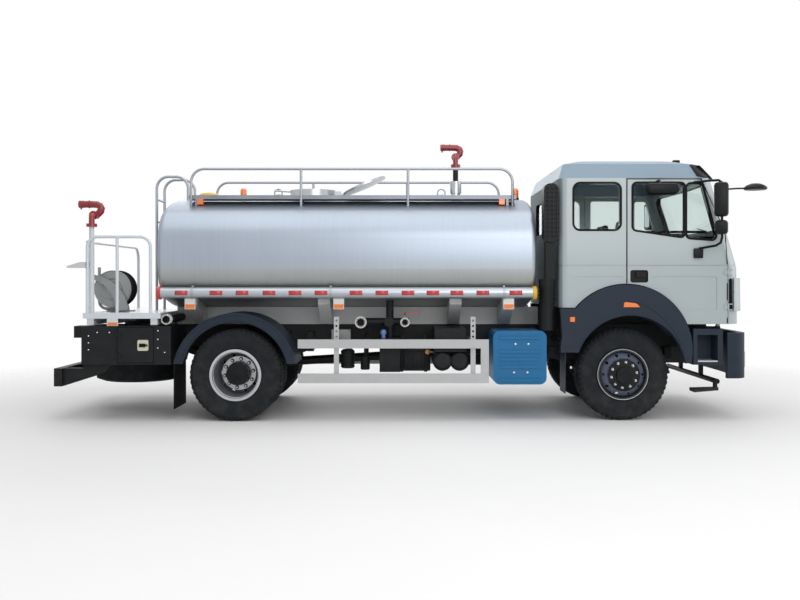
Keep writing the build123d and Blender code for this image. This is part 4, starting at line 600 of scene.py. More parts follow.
def addSeal(bm, sign, corners, radius):
    inner = rounded(corners, radius)
    middle = sum(inner, Vector((0, 0))) / len(inner)
    outer = []
    for i, here in enumerate(inner):
        along = (inner[(i + 1) % len(inner)] - inner[i - 1]).normalized()
        out = Vector((along.y, -along.x))
        outer.append(here + out * math.copysign(glazing["width"], out.dot(here - middle)))
    place = onSide(sign, glazing["face"])
    bridge(bm, [[bm.verts.new(place(a.lerp(b, share), depth)) for a, b in zip(inner, outer)]
                for share, depth in glazing["section"]])


for side, sign in sides:
    bm = bmesh.new()
    addSeal(bm, sign, *glazing["rearSide"])
    piece(f"rearWindowSeal_{side}", bm, "cab", "rubberSeal", 50)
    bm = bmesh.new()
    for key in ("door", "quarter"):
        addSeal(bm, sign, *glazing[key])
    piece(f"doorWindowSeal_{side}", bm, f"door_{side}", "rubberSeal", 50)
print("seals made")

# red reflective patches on the hose tubes
tubes = {"y": 1.183, "z": 1.487}
tubeMarks = {
    "radius": 0.0676, "long": 0.148, "spread": 23, "steps": 8, "thick": 0.0008,
    "places": (-2.627, -2.225, -1.924, -1.613, -1.314, -1.014, -0.611, -0.312, -0.012, 0.276, 0.552, 0.852,
               1.232),
}
for side, sign in sides:
    bm = bmesh.new()
    for x in tubeMarks["places"]:
        lines = []
        for step in range(tubeMarks["steps"] + 1):
            angle = math.radians(tubeMarks["spread"] * (2 * step / tubeMarks["steps"] - 1))
            y = sign * (tubes["y"] + tubeMarks["radius"] * math.cos(angle))
            z = tubes["z"] + tubeMarks["radius"] * math.sin(angle)
            lines.append([bm.verts.new((x + end * tubeMarks["long"] / 2, y, z)) for end in (-1, 1)])
        for first, second in zip(lines, lines[1:]):
            bm.faces.new(first + second[::-1])
    made = piece(f"tubeMarks_{side}", bm, "chassis", "redStrip", 60)
    made.modifiers.new("thick", "SOLIDIFY").thickness = tubeMarks["thick"]
print("tube marks made")

# second finishes by faces
zones = {
    "cannonX": (0.411, 0.811), "cannonFoot": (2.9, 3.078), "tail": (-far, -3.7832),
    "ports": ((-0.566, 1.138, 0.085), (-0.045, 1.138, 0.06), (-2.804, 1.18, 0.07)), "portHole": 0.7,
    "handle": {"x": (2.556, 2.767), "z": (1.604, 1.753)}, "lampBody": (0.967, 1.106),
}
refinish("catwalk", "railMetal", z=(2.6655, far))
refinish("top_fittings", "yellow", x=(-2.748, -2.348), wide=(-far, 0.2))
refinish("top_fittings", "chassisBlack", x=zones["cannonX"], z=zones["cannonFoot"])
refinish("top_fittings", "cannonRed", x=zones["cannonX"], z=(zones["cannonFoot"][1], far))
refinish("rear_deck", "cannonRed", z=(2.2545, far), y=(-far, -1.05))
for x, z, r in zones["ports"]:
    refinish("water_pipes", "plateWhite", (x, z), y=(-far, -0.945), radius=(zones["portHole"] * r, r))
refinish("water_pipes", "redStrip", x=(-0.07, 0.15), y=(-far, -0.9), z=(1.2385, 1.2535))
refinish("hose_reel", "blackPlastic", y=(-0.71, far))
refinish("rear_lockers", "rubberSeal", wide=(-far, 1.19), inward=(0, far))
for side, sign in sides:
    refinish(f"door_{side}", "blackPlastic", wide=(1.18, 1.2197), **zones["handle"])
    refinish(f"door_{side}", "rubberSeal", leave=zones["handle"], sideways=(-far, 0.2))
refinish("cab_steps", "alloy", z=(0.6905, 0.7085), upward=(-0.5, far))
refinish("cab_front", "rubberSeal", x=(3.3, far), z=(2.0, far), wide=(-far, 1.15), lengthwise=(-far, 0.55))
# the back wall's rear faces: painted shade between cab and tank
refinish("cab_back", "shadedBackPaint", ahead=(-far, -0.6))
refinish("cab_back", "rubberSeal", z=(2.1, 2.75), wide=(-far, 1.0), lengthwise=(-far, 0.5))
refinish("marker_lamps", "plateWhite", x=(-2.7, 2.7), z=(1.29, 1.422), wide=(1.15, far))
refinish("marker_lamps", "plateWhite", x=(-3.6, far), z=(1.105, 1.19))
refinish("marker_lamps", "blackPlastic", x=zones["tail"], z=zones["lampBody"], ahead=(-0.5, far))
refinish("marker_lamps", "redLens", x=zones["tail"], z=(-far, zones["lampBody"][1]), ahead=(-far, -0.5))
refinish("marker_lamps", "redLens", x=zones["tail"], z=(0.84, 0.94))
refinish("marker_lamps", "alloy", z=(1.77, 1.85))
refinish("marker_lamps", "clearLens", x=(3.5, far))
refinish("marker_lamps", "blackPlastic", z=(2.6, 2.722), wide=(-far, 0.1))
refinish("rear_fenders", "rubberSeal", x=(-far, -2.5), z=(-far, 0.62))
print("second finishes set")

# orange halves of the marker plates
plateBands = {
    "groups": (((-2.538, -0.814, 1.157), 1.188, (1.303, 1.354)),  # middles, face, height range
               ((-3.426,), 1.2265, (1.112, 1.145))), "half": 0.056, "deep": 0.0016, "edge": 0.001,
}
for side, sign in sides:
    bm = bmesh.new()
    half = plateBands["half"]
    for middles, face, height in plateBands["groups"]:
        for x in middles:
            addPrism(bm, rectangle(x - half, x + half, *height), onSide(sign, face), plateBands["deep"],
                     plateBands["edge"])
    piece(f"plateBands_{side}", bm, "chassis", "orangeStrip", 30)
print("plate bands made")

# red and yellow end caps and clamp bands of the hose tubes
tubeEnds = {
    "cap": ((0, -0.005), (0.07, -0.005), (0.078, 0.002), (0.078, 0.042), (0.0672, 0.044)),
    "band": ((0.0668, -0.017), (0.071, -0.016), (0.071, 0.016), (0.0668, 0.017)),
    "bands": (-2.508, -0.908, 1.102), "ends": (("tubeCap", "redStrip", 1), ("tubeFrontCap", "yellow", -1)),
    "lug": ((-0.012, -0.012, 0.066), (0.012, 0.012, 0.084)), "lugIn": 0.01, "lugEdge": 0.003,
}
tubeLow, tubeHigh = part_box("hose_tubes")
for side, sign in sides:
    y, z = sign * tubes["y"], tubes["z"]
    for name, finish, aim in tubeEnds["ends"]:
        end = tubeLow.x if aim > 0 else tubeHigh.x
        turned(f"{name}_{side}", "chassis", finish, 40, [((end, y, z), (aim, 0, 0), tubeEnds["cap"], 40)])
    bm = bmesh.new()
    for x in tubeEnds["bands"]:
        addRound(bm, (x, y, z), (1, 0, 0), tubeEnds["band"], 40)
        seat = Vector((x, y - sign * tubeEnds["lugIn"], z))
        addBox(bm, *(seat + Vector(corner) for corner in tubeEnds["lug"]), tubeEnds["lugEdge"])
    piece(f"tubeBands_{side}", bm, "chassis", "railMetal", 40)
print("tube ends made")

# amber lamps on the front arches
archLamps = {
    "face": 1.2495, "deep": 0.013, "edge": 0.006,
    "main": [(2.473, 1.322), (2.662, 1.322), (2.640, 1.352), (2.618, 1.368), (2.494, 1.383), (2.478, 1.372)],
    "small": rectangle(1.855, 1.912, 1.152, 1.210),
}
for side, sign in sides:
    bm = bmesh.new()
    for key in ("main", "small"):
        addPrism(bm, archLamps[key], onSide(sign, archLamps["face"]), archLamps["deep"], archLamps["edge"])
    piece(f"archLamps_{side}", bm, "chassis", "amberLens", 30)
print("arch lamps made")

# locker paddle latch and bolt heads along the locker's edges
locker = {
    "latch": (-3.135, -3.008, 0.818, 0.944), "latchForm": (0.018, 0.006, 0.003),  # corner radius, depth, edge
    "paddles": (((0.02, 0.03, 0.042), (0.01, 0.008, 0.003)), ((0.1, 0.009, 0.05), (0.006, 0.004, 0.002))),
    "bolts": ((-3.70, 0.99), (-3.70, 0.91), (-3.70, 0.83), (-3.60, 1.03), (-3.46, 1.03), (-2.90, 1.05),
              (-2.90, 0.95), (-2.90, 0.85), (-2.82, 0.80)),
    "bolt": ((0, -0.002), (0.008, -0.002), (0.008, 0.002), (0.005, 0.004), (0, 0.005)), "boltFrom": 1.2,
}
x0, x1, z0, z1 = locker["latch"]
face = meets("locker_door", ((x0 + x1) / 2, -2, (z0 + z1) / 2), (0, 1, 0))[0].y
bm = bmesh.new()
addPlate(bm, locker["latch"], onSide(-1, -face), *locker["latchForm"])
piece("lockerLatch", bm, "locker_door", "creamPlate", 30)
bm = bmesh.new()
for (back, ahead, inset), form in locker["paddles"]:
    area = (x0 + back, x1 - ahead, z0 + inset, z1 - inset)
    addPlate(bm, area, onSide(-1, locker["latchForm"][1] - face), *form)
piece("lockerPaddle", bm, "locker_door", "rubberSeal", 30)
forms = []
for side, sign in sides:
    for x, z in locker["bolts"]:
        spot = meets("rear_lockers", (x, sign * 2, z), (0, -sign, 0))[0]
        if spot and abs(spot.y) > locker["boltFrom"]:
            forms.append((spot, (0, sign, 0), locker["bolt"], 8))
turned("lockerBolts", "chassis", "brightNut", 30, forms)
print("locker fittings made")

# hose wound on the reel, turn beside turn
winding = {
    "spot": (-3.512, 0, 1.530), "from": -0.934, "to": -0.706, "turns": 9, "drum": 0.1695, "lift": 0.012,
    "bulge": 0.0132, "steps": 6,
    "hubRim": ((0.132, -0.001), (0.136, 0.004), (0.128, 0.009), (0.118, 0.004), (0.116, -0.001)),
    "edgeRim": ((0.216, -0.001), (0.2195, 0.003), (0.213, 0.007), (0.206, 0.003), (0.204, -0.001)),
}
pitch = (winding["to"] - winding["from"]) / winding["turns"]
profile = [(winding["drum"], winding["from"])]
for turn in range(winding["turns"]):
    for k in range(winding["steps"] + 1):
        angle = math.pi * k / winding["steps"]
        profile.append((winding["drum"] + winding["lift"] + winding["bulge"] * math.sin(angle),
                        winding["from"] + pitch * (turn + 0.5 - math.cos(angle) / 2)))
profile.append((winding["drum"], winding["to"]))
turned("reelWinding", "hose_reel", "hubBlack", 50, [(winding["spot"], (0, 1, 0), profile, 56)])
hubSpot = Vector((winding["spot"][0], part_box("hose_reel")[0].y, winding["spot"][2]))
turned("reelRims", "hose_reel", "greySteel", 50,
       [(hubSpot, (0, -1, 0), winding[key], 56) for key in ("hubRim", "edgeRim")])
print("reel winding made")

# wiper arms and blades on the windscreen
wipers = {
    "pivots": (-0.62, 0.12), "low": 2.175, "reach": 0.62, "rise": 0.10, "steps": 8, "pivotDrop": 0.09,
    "knob": ((0, -0.01), (0.022, -0.01), (0.02, 0.014), (0.012, 0.022), (0, 0.022)), "lean": (1, 0, 0.2),
    "seat": 0.004, "tip": (0.341, 0.06, 0.022), "offsets": ((0.012, 0, 0), (0.012, 0, 0.004)), "elbow": 0.2,
    "armRadius": 0.006, "bladeUp": 0.02, "bladeStand": 0.0096, "bladeRadius": 0.0065,
}


def onScreen(y, z, stand):
    spot, normal = meets("cab_glass", (5, y, z), (-1, 0, 0))
    if spot is None:
        spot, normal = meets("cab_front", (5, y, z), (-1, 0, 0))
    return spot + Vector((abs(normal.x), 0, normal.z if normal.x > 0 else -normal.z)).normalized() * stand


bm = bmesh.new()
for y in wipers["pivots"]:
    low = wipers["low"]
    base = onScreen(y, low - wipers["pivotDrop"], wipers["seat"])
    addRound(bm, base, wipers["lean"], wipers["knob"], 16)
    along, up, stand = wipers["tip"]
    tip = onScreen(y + along, low + up, stand)
    start, elbow = (Vector(offset) for offset in wipers["offsets"])
    addTube(bm, [base + start, base.lerp(tip, wipers["elbow"]) + elbow, tip], wipers["armRadius"], 8)
    shares = [k / wipers["steps"] for k in range(wipers["steps"] + 1)]
    blade = [onScreen(y + wipers["reach"] * share, low + wipers["bladeUp"] + wipers["rise"] * share,
                      wipers["bladeStand"]) for share in shares]
    addTube(bm, blade, wipers["bladeRadius"], 6)
piece("wipers", bm, "cab", "blackPlastic", 40)
print("wipers made")

# blank number plate on the bumper, small lamps on the roof's front edge
frontBits = {
    "plate": (-0.22, 0.22, 0.66, 0.8), "plateForm": (0.012, 0.004, 0.003),  # corner radius, depth, edge
    "plateProbe": (5, 0.1, 0.73), "roofLamp": (3.235, 0.72), "roofSize": (0.085, 0.07, 0.04),
    "roofSunk": 0.012, "roofEdge": 0.012,
}
face = meets("front_bumper", frontBits["plateProbe"], (-1, 0, 0))[0].x
bm = bmesh.new()
addPlate(bm, frontBits["plate"], lambda p, d: (face + d, p.x, p.y), *frontBits["plateForm"])
piece("frontPlate", bm, "chassis", "plateWhite", 30)
x, y = frontBits["roofLamp"]
top = meets("cab_roof", (x, -y, 4), (0, 0, -1))[0].z
long, wide, high = frontBits["roofSize"]
bm = bmesh.new()
for sign in (-1, 1):
    addBox(bm, (x - long / 2, sign * y - wide / 2, top - frontBits["roofSunk"]),
           (x + long / 2, sign * y + wide / 2, top + high), frontBits["roofEdge"])
piece("roofLamps", bm, "cab", "blackPlastic", 40)
print("front bits made")

# seats: crowned cushions on plain boxes, in place of the solid ones
seats = {
    "x": 2.552, "y": 0.56, "base": 1.3563, "cuts": 7, "pinch": 0.035, "waist": 0.02, "groove": 0.3,
    "rim": 0.99, "channels": 4, "fill": 0.7, "lean": -80,
    "cushion": ((0, -0.25, 0.26), (0.5, 0.25, 0.39), 0.022),  # corners from the seat's place, crown
    "back": ((-0.335, -0.235, 0.605), (0.375, 0.235, 0.715), 0.02),
    "box": ((0.07, -0.18, 0), (0.42, 0.18, 0.262)), "boxEdge": 0.02,
    "bunk": ((1.776, -1.096, 1.6563), (2.298, 1.096, 1.776), 0.02), "bunkChannels": 8, "bunkFill": 0.6,
    "bunkBox": ((1.776, -1.096, 1.3563), (2.288, 1.096, 1.6583)), "bunkEdge": 0.015,
}


def pad(name, low, high, crown, channels, turn=None):
    # the edges drawn in, the top swollen and channelled
    bm = bmesh.new()
    bmesh.ops.create_cube(bm, size=2)
    bmesh.ops.subdivide_edges(bm, edges=bm.edges[:], cuts=seats["cuts"], use_grid_fill=True)
    centre = (low + high) / 2
    half = (high - low) / 2
    for v in bm.verts:
        u = v.co.copy()
        pinch = 1 - seats["pinch"] * u.z * u.z
        pinch -= seats["waist"] * (1 - u.x * u.x) * (abs(u.y) > seats["rim"])
        pinch -= seats["waist"] * (1 - u.y * u.y) * (abs(u.x) > seats["rim"])
        swell = crown * (1 - u.x ** 4) * (1 - u.y ** 4)
        swell -= seats["groove"] * crown * (1 + math.cos(math.pi * channels * u.y)) / 2
        top = u.z * (half.z - crown) + swell * (u.z > seats["rim"])
        local = Vector((u.x * half.x * pinch, u.y * half.y * pinch, top))
        v.co = centre + (turn @ local if turn else local)
    made = piece(name, bm, "cab", "seatCloth", 60)
    smooth = made.modifiers.new("soft", "SUBSURF")
    smooth.levels = 1
    smooth.render_levels = 1
    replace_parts(made, "cab_seats")


def seatBox(name, low, high, edge):
    bm = bmesh.new()
    addBox(bm, low, high, edge)
    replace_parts(piece(name, bm, "cab", "blackPlastic", 40), "cab_seats")


lean = Matrix.Rotation(math.radians(seats["lean"]), 3, "Y")
for side, sign in sides:
    spot = Vector((seats["x"], sign * seats["y"], seats["base"]))
    for name, key, turn in (("seatCushion", "cushion", None), ("seatBack", "back", lean)):
        low, high, crown = seats[key]
        pad(f"{name}_{side}", spot + Vector(low), spot + Vector(high), crown,
            seats["channels"], turn)
    seatBox(f"seatBox_{side}", *(spot + Vector(corner) for corner in seats["box"]), seats["boxEdge"])
low, high, crown = seats["bunk"]
pad("bunkPad", Vector(low), Vector(high), crown, seats["bunkChannels"])
seatBox("bunkBox", *seats["bunkBox"], seats["bunkEdge"])
print("seats made")

# mirrors: rounded heads on bent arms, in place of the plain solids
mirrors = {
    "heads": (((3.456, 1.345, 2.357), (3.612, 1.535, 2.740)), ((3.464, 1.352, 2.154), (3.606, 1.530, 2.312))),
    "inward": 20, "round": 0.036, "glassInset": 0.04, "glassForm": (0.02, 0.0025, 0.002),
    "hood": ((2.692, 1.292, 2.608), (3.056, 1.478, 2.736)), "hoodRound": 0.045,
    "foot": ((3.286, 1.2195, 1.888), (3.392, 1.262, 2.002)), "footRound": 0.012,
    "arm": (
        (3.292, 1.2195, 2.765), (3.43, 1.34, 2.772), (3.51, 1.42, 2.768), (3.54, 1.44, 2.74),
        (3.542, 1.44, 2.4), (3.542, 1.44, 2.12), (3.53, 1.43, 2.06), (3.49, 1.39, 2.028), (3.352, 1.25, 2),
        (3.34, 1.225, 1.97)),
    "hoodArm": ((2.872, 1.211, 2.780), (2.872, 1.30, 2.775), (2.872, 1.38, 2.70)),
    "dishArm": ((3.542, 1.44, 2.66), (3.75, 1.36, 2.68), (3.965, 1.29, 2.69)),
    "armRadius": 0.014, "hoodArmRadius": 0.013, "dishArmRadius": 0.010, "dishSpot": (3.980, 1.28, 2.690),
    "dish": ((0, -0.016), (0.1179, -0.018), (0.131, -0.004), (0.12576, 0.012), (0.09825, 0.034),
             (0.0524, 0.052), (0, 0.058)),
}


def sided(points, sign):
    return [(x, sign * y, z) for x, y, z in points]


def sidedBox(bm, pair, sign, bevel, inward=0):
    (x0, y0, z0), (x1, y1, z1) = pair
    low, high = sorted((sign * y0, sign * y1))
    addBox(bm, (x0, low, z0), (x1, high, z1), bevel, Matrix.Rotation(math.radians(sign * inward), 4, "Z"))


for side, sign in sides:
    bm = bmesh.new()
    for head in mirrors["heads"]:
        sidedBox(bm, head, sign, mirrors["round"], mirrors["inward"])
    sidedBox(bm, mirrors["foot"], sign, mirrors["footRound"])
    addTube(bm, sided(mirrors["arm"], sign), mirrors["armRadius"], 12)
    if side == "right":
        sidedBox(bm, mirrors["hood"], sign, mirrors["hoodRound"])
        for arm in ("hoodArm", "dishArm"):
            addTube(bm, sided(mirrors[arm], sign), mirrors[arm + "Radius"], 12)
        addRound(bm, *sided([mirrors["dishSpot"]], sign), (0, 0, 1), mirrors["dish"], 36)
    made = piece(f"mirrorSet_{side}", bm, f"door_{side}", "blackPlastic", 40)
    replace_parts(made, f"mirrors_{side}")
    bm = bmesh.new()
    turn = Matrix.Rotation(math.radians(sign * mirrors["inward"]), 3, "Z")
    inset = mirrors["glassInset"]
    for (x0, y0, z0), (x1, y1, z1) in mirrors["heads"]:
        middle = Vector(((x0 + x1) / 2, sign * (y0 + y1) / 2, 0))
        half = (y1 - y0) / 2 - inset
        addPlate(bm, (-half, half, z0 + inset, z1 - inset),
                 lambda p, d: middle + turn @ Vector(((x0 - x1) / 2 - d, p.x, p.y)), *mirrors["glassForm"])
    piece(f"mirrorFaces_{side}", bm, f"door_{side}", "mirrorGlass", 30)
print("mirrors made")

# cannons: a cast bend over the solid's path, with rings at the joints
cannons = {
    "spots": (("rear", (-3.700, -1.120, 2.275)), ("front", (0.611, 0.0, 3.105))), "radius": 0.041,
    "path": (
        (0, 0.066, 0.12), (0, 0.105, 0.12), (0.008, 0.128, 0.126), (0.036, 0.1303, 0.145),
        (0.062, 0.1303, 0.172), (0.07, 0.1303, 0.205), (0.056, 0.1303, 0.233), (0.02, 0.1303, 0.2515),
        (-0.05, 0.1303, 0.2545), (-0.18, 0.1303, 0.2545)),
    "seat": (0, 0.0603, 0.12), "seatRing": ((0, 0), (0.052, 0), (0.052, 0.012), (0.045, 0.016), (0, 0.016)),
    "tip": (-0.14, 0.1303, 0.2545),
    "tipRings": (  # place from the tip, profile
        ((0, 0, 0), ((0, -0.004), (0.044, -0.004), (0.044, 0.05), (0.034, 0.05), (0.03, 0.02), (0, 0.018))),
        ((0.075, 0, 0), ((0, 0), (0.047, 0.001), (0.047, 0.012), (0, 0.013)))),
    "lug": ((-0.036, -0.008, -0.062), (-0.018, 0.008, -0.03)), "lugEdge": 0.003,
}


def shifted(spot, step):
    return tuple(a + b for a, b in zip(spot, step))


for name, spot in cannons["spots"]:
    bm = bmesh.new()
    addTube(bm, [shifted(spot, step) for step in cannons["path"]], cannons["radius"], 20)
    addRound(bm, shifted(spot, cannons["seat"]), (0, 1, 0), cannons["seatRing"], 28)
    tip = Vector(shifted(spot, cannons["tip"]))
    for place, profile in cannons["tipRings"]:
        addRound(bm, tip + Vector(place), (-1, 0, 0), profile, 28)
    addBox(bm, *(tip + Vector(corner) for corner in cannons["lug"]), cannons["lugEdge"])
    made = piece(f"cannonBend_{name}", bm, f"{name}_nozzle", "cannonRed", 45)
    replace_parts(made, f"{name}_nozzle")
print("cannons made")

# amber beacons: ribbed domes on the lamps' bases
beacons = {
    "places": (-2.122, 1.380), "low": 2.690,
    "dome": ((0, 0), (0.0435, 0), (0.0435, 0.012), (0.0415, 0.018), (0.0435, 0.03), (0.0415, 0.042),
             (0.0435, 0.054), (0.0415, 0.066), (0.043, 0.078), (0.041, 0.104), (0.03, 0.124), (0, 0.13)),
}
turned("beaconDomes", "chassis", "amberLens", 50,
       [((x, 0, beacons["low"]), (0, 0, 1), beacons["dome"], 32) for x in beacons["places"]])
print("beacons made")

# curved front arm of the reel's stand, narrower upward
reelArm = {
    "centre": (-3.806, 1.262), "outer": 0.458, "inner": 0.372, "y": (-0.992, -0.972), "from": 2, "to": 84,
    "steps": 22, "flare": (0.008, 0.022), "edge": 0.004,
}
bm = bmesh.new()
rows = []
for k in range(reelArm["steps"] + 1):
    angle = math.radians(reelArm["from"] + (reelArm["to"] - reelArm["from"]) * k / reelArm["steps"])
    wide = reelArm["flare"][0] + reelArm["flare"][1] * math.cos(angle * 2)
    near, away = reelArm["y"]
    corners = rectangle(reelArm["inner"] - wide, reelArm["outer"] + wide, near, away)
    x, z = reelArm["centre"]
    rows.append([bm.verts.new((x + r * math.cos(angle), y, z + r * math.sin(angle))) for r, y in corners])
bridge(bm, rows)
closeEnds(bm, rows)
bmesh.ops.bevel(bm, geom=[e for e in bm.edges if e.is_manifold and e.calc_face_angle(0) > 1],
                offset=reelArm["edge"], segments=2, profile=0.5, affect="EDGES")
piece("reelArm", bm, "chassis", "greySteel", 40)
print("reel arm made")

# dark patches laid on the cab's own surface: the ends of the sun visor, and painted shade of the gaps behind
# the corner panels
patches = {
    "visorEnd": (0.014, (  # height, outline
        (3.272, 2.978), (3.340, 2.996), (3.400, 2.982), (3.452, 2.930), (3.508, 2.836), (3.433, 2.822),
        (3.330, 2.838))),
    # a thin dark sheet: painted shade of the gap behind the corner panel
    "cornerGapShade": (0.004, (
        (3.700, 1.300), (3.722, 1.282), (3.744, 1.300), (3.744, 1.640), (3.722, 1.658), (3.700, 1.640))),
    "steps": ((1.0, 0.7), (0.8, 1), (0.55, 1), (0.25, 1)),  # shares of the outline and of the height
    "sunk": 0.004, "fine": 4,
    "carriers": ("cab_roof", "cab_trim", "cab_sides", "cab_front"),
}


def seatOn(x, z, sign):
    hits = [meets(node, (x, sign * 2, z), (0, -sign, 0))[0] for node in patches["carriers"]]
    return max((spot for spot in hits if spot is not None), key=lambda spot: sign * spot.y)


for kind in ("visorEnd", "cornerGapShade"):
    proud, outline = patches[kind]
    outline = [Vector(p) for p in outline]
    middle = sum(outline, Vector((0, 0))) / len(outline)
    lines = zip(outline, outline[1:] + outline[:1])
    fine = [a.lerp(b, k / patches["fine"]) for a, b in lines for k in range(patches["fine"])]
    levels = [(1.0, -patches["sunk"])] + [(share, proud * rise) for share, rise in patches["steps"]]
    for side, sign in sides:
        bm = bmesh.new()
        rows = []
        for share, lift in levels:
            spots = [seatOn(*middle.lerp(point, share), sign) for point in fine]
            rows.append([bm.verts.new(spot + Vector((0, sign * lift, 0))) for spot in spots])
        bridge(bm, rows)
        closeEnds(bm, rows)
        piece(f"{kind}_{side}", bm, "cab", "blackPlastic", 40)
print("cab patches made")

# dark rubber beads along the doors' edges, left open round the hinges
doorBeads = {
    "lines": (((2.522, 1.602), (2.522, 2.803), (3.376, 2.803), (3.657, 2.186), (3.679, 1.820)),
              ((3.680, 1.600), (3.680, 1.400)), ((3.680, 1.200), (3.680, 1.136))),
    "y": 1.2195, "radius": 0.0045,
}
for side, sign in sides:
    bm = bmesh.new()
    for line in doorBeads["lines"]:
        addTube(bm, [(x, sign * doorBeads["y"], z) for x, z in line], doorBeads["radius"], 8)
    piece(f"doorBead_{side}", bm, f"door_{side}", "rubberSeal", 50)
print("door beads made")

# rolled lips and pressed creases of the arches
arches = {
    "y": 1.2488, "steps": 40,
    "lines": (  # centre, angles, reach, how much the reach grows, bar radius
        ((2.557, 0.592), (22, 158), 0.640, 0, 0.008), ((2.492, 0.535), (11, 82), 0.715, 0.143, 0.007),
        ((-2.008, 0.535), (20, 164), 0.638, 0, 0.0075), ((-2.008, 0.535), (20, 164), 0.702, 0, 0.0075)),
    "growth": (10, 72, 1.35),  # first angle, span, power
}


def archLine(sign, x, z, first, last, reach, more):
    start, span, power = arches["growth"]
    for k in range(arches["steps"] + 1):
        degrees = first + (last - first) * k / arches["steps"]
        r = reach + (more * ((degrees - start) / span) ** power if more else 0)
        angle = math.radians(degrees)
        yield x + r * math.cos(angle), sign * arches["y"], z + r * math.sin(angle)


for side, sign in sides:
    bm = bmesh.new()
    for centre, angles, reach, more, radius in arches["lines"]:
        addTube(bm, archLine(sign, *centre, *angles, reach, more), radius, 8)
    piece(f"archLips_{side}", bm, "chassis", "slatePlastic", 50)
print("arch lips made")

# bolts on the blue tank, lifting rings on the barrel
smallBits = {
    "bolts": ((1.233, 0.893), (1.383, 0.893), (1.216, 0.565), (1.371, 0.565)),
    "bolt": ((0, -0.002), (0.012, -0.002), (0.012, 0.004), (0.007, 0.008), (0, 0.009)),
    "rings": (-1.673, 0.427), "ringLow": 2.66, "ringTop": 2.806, "ringHalf": 0.048, "ringBar": 0.0085,
    "ringSteps": 12,
}
turned("tankBolts", "chassis", "brightNut", 30,
       [(meets("reagent_tank", (x, -2, z), (0, 1, 0))[0], (0, -1, 0), smallBits["bolt"], 10)
        for x, z in smallBits["bolts"]])
bm = bmesh.new()
for x in smallBits["rings"]:
    half, low, steps = smallBits["ringHalf"], smallBits["ringLow"], smallBits["ringSteps"]
    angles = [math.pi * (1 - k / steps) for k in range(steps + 1)]
    bow = [(x + half * math.cos(a), 0, smallBits["ringTop"] - half + half * math.sin(a)) for a in angles]
    addTube(bm, [(x - half, 0, low), *bow, (x + half, 0, low)], smallBits["ringBar"], 10)
piece("liftingRings", bm, "chassis", "railMetal", 50)
print("small bits made")

# small service parts hung on the frame rail behind the side guard
rail = -0.4455
service = {
    "boxes": (  # middles, half width, Y range, Z range, edge
        ((0.0685,), 0.1935, (-0.82, -0.452), (0.545, 0.775), 0.014),  # case
        ((0.0685,), 0.1995, (-0.826, -0.452), (0.771, 0.807), 0.01),  # its lid
        ((-0.035, 0.07, 0.175), 0.022, (-0.828, -0.816), (0.575, 0.745), 0.006),  # its ribs
        ((-0.085, 0.205), 0.025, (-0.472, rail + 0.002), (0.585, 0.96), 0.004),  # its hangers
        ((-0.085, 0.205), 0.02, (-0.80, rail), (0.533, 0.548), 0.003),  # its feet
        ((-0.522,), 0.03, (-0.755, rail), (0.641, 0.653), 0.003),  # canister's arm
        ((-0.522,), 0.03, (rail - 0.012, rail + 0.001), (0.641, 0.93), 0.003),  # its strap
        ((-0.735,), 0.035, (-0.67, rail), (0.675, 0.689), 0.003),  # dryer's arm
        ((-0.735,), 0.035, (rail - 0.012, rail + 0.001), (0.675, 0.93), 0.003)),  # its strap
    "canisterSpot": (-0.522, -0.80, 0.561),
    "canister": ((0, 0), (0.05, 0), (0.056, 0.012), (0.056, 0.118), (0.064, 0.122), (0.064, 0.15),
                 (0.03, 0.156), (0.014, 0.17), (0, 0.172)),
    "hose": ((-0.522, -0.80, 0.721), (-0.522, -0.80, 0.90), (-0.522, -0.78, 0.95), (-0.522, -0.73, 0.975),
             (-0.522, rail, 0.98)), "hoseRadius": 0.012,
    "dryerSpot": (-0.735, -0.74, 0.575), "dryerRadius": 0.084,
    "dryerFoot": ((0, 0), (0.07, 0), (0.084, 0.014)),
    "dryerTop": ((0.084, 0.205), (0.06, 0.226), (0.03, 0.23), (0, 0.231)),
    "dryerRibs": 5, "ribStart": 0.03, "ribPitch": 0.034, "rib": ((0, 0), (-0.006, 0.008), (0, 0.016)),
    "junction": ((-0.945, -0.60, 0.885), (-0.708, rail, 1.031)), "junctionEdge": 0.008,
    "capProbe": (-0.300, -0.945, 1.08), "capSunk": 0.003,
    "cap": ((0, 0), (0.024, 0), (0.024, 0.05), (0.034, 0.052), (0.036, 0.085), (0.024, 0.104), (0, 0.11)),
    "valveSpot": (0.226, -0.86, 0.777), "valvePipe": 0.01, "valveSteps": (0, 0.03, 0.06),
    "valve": ((0, -0.02), (0.02, -0.02), (0.02, 0.01), (0.03, 0.012), (0.03, 0.026), (0.012, 0.03),
              (0, 0.031)),
}
bm = bmesh.new()
for middles, half, (y0, y1), (z0, z1), edge in service["boxes"]:
    for x in middles:
        addBox(bm, (x - half, y0, z0), (x + half, y1, z1), edge)
addRound(bm, service["canisterSpot"], (0, 0, 1), service["canister"], 28)
addTube(bm, service["hose"], service["hoseRadius"], 10)
ribs = [(service["dryerRadius"] + grow, service["ribStart"] + k * service["ribPitch"] + up)
        for k in range(service["dryerRibs"]) for grow, up in service["rib"]]
addRound(bm, service["dryerSpot"], (0, 0, 1), [*service["dryerFoot"], *ribs, *service["dryerTop"]], 30)
piece("serviceParts", bm, "chassis", "chassisBlack", 40)
bm = bmesh.new()
addBox(bm, *service["junction"], service["junctionEdge"])
piece("junctionBox", bm, "chassis", "greySteel", 40)
spot = meets("water_pipes", service["capProbe"], (0, 0, -1))[0] - Vector((0, 0, service["capSunk"]))
turned("fillCap", "chassis", "capBlue", 40, [(spot, (0, 0, 1), service["cap"], 24)])
bm = bmesh.new()
addRound(bm, service["valveSpot"], (0, -1, 0), service["valve"], 20)
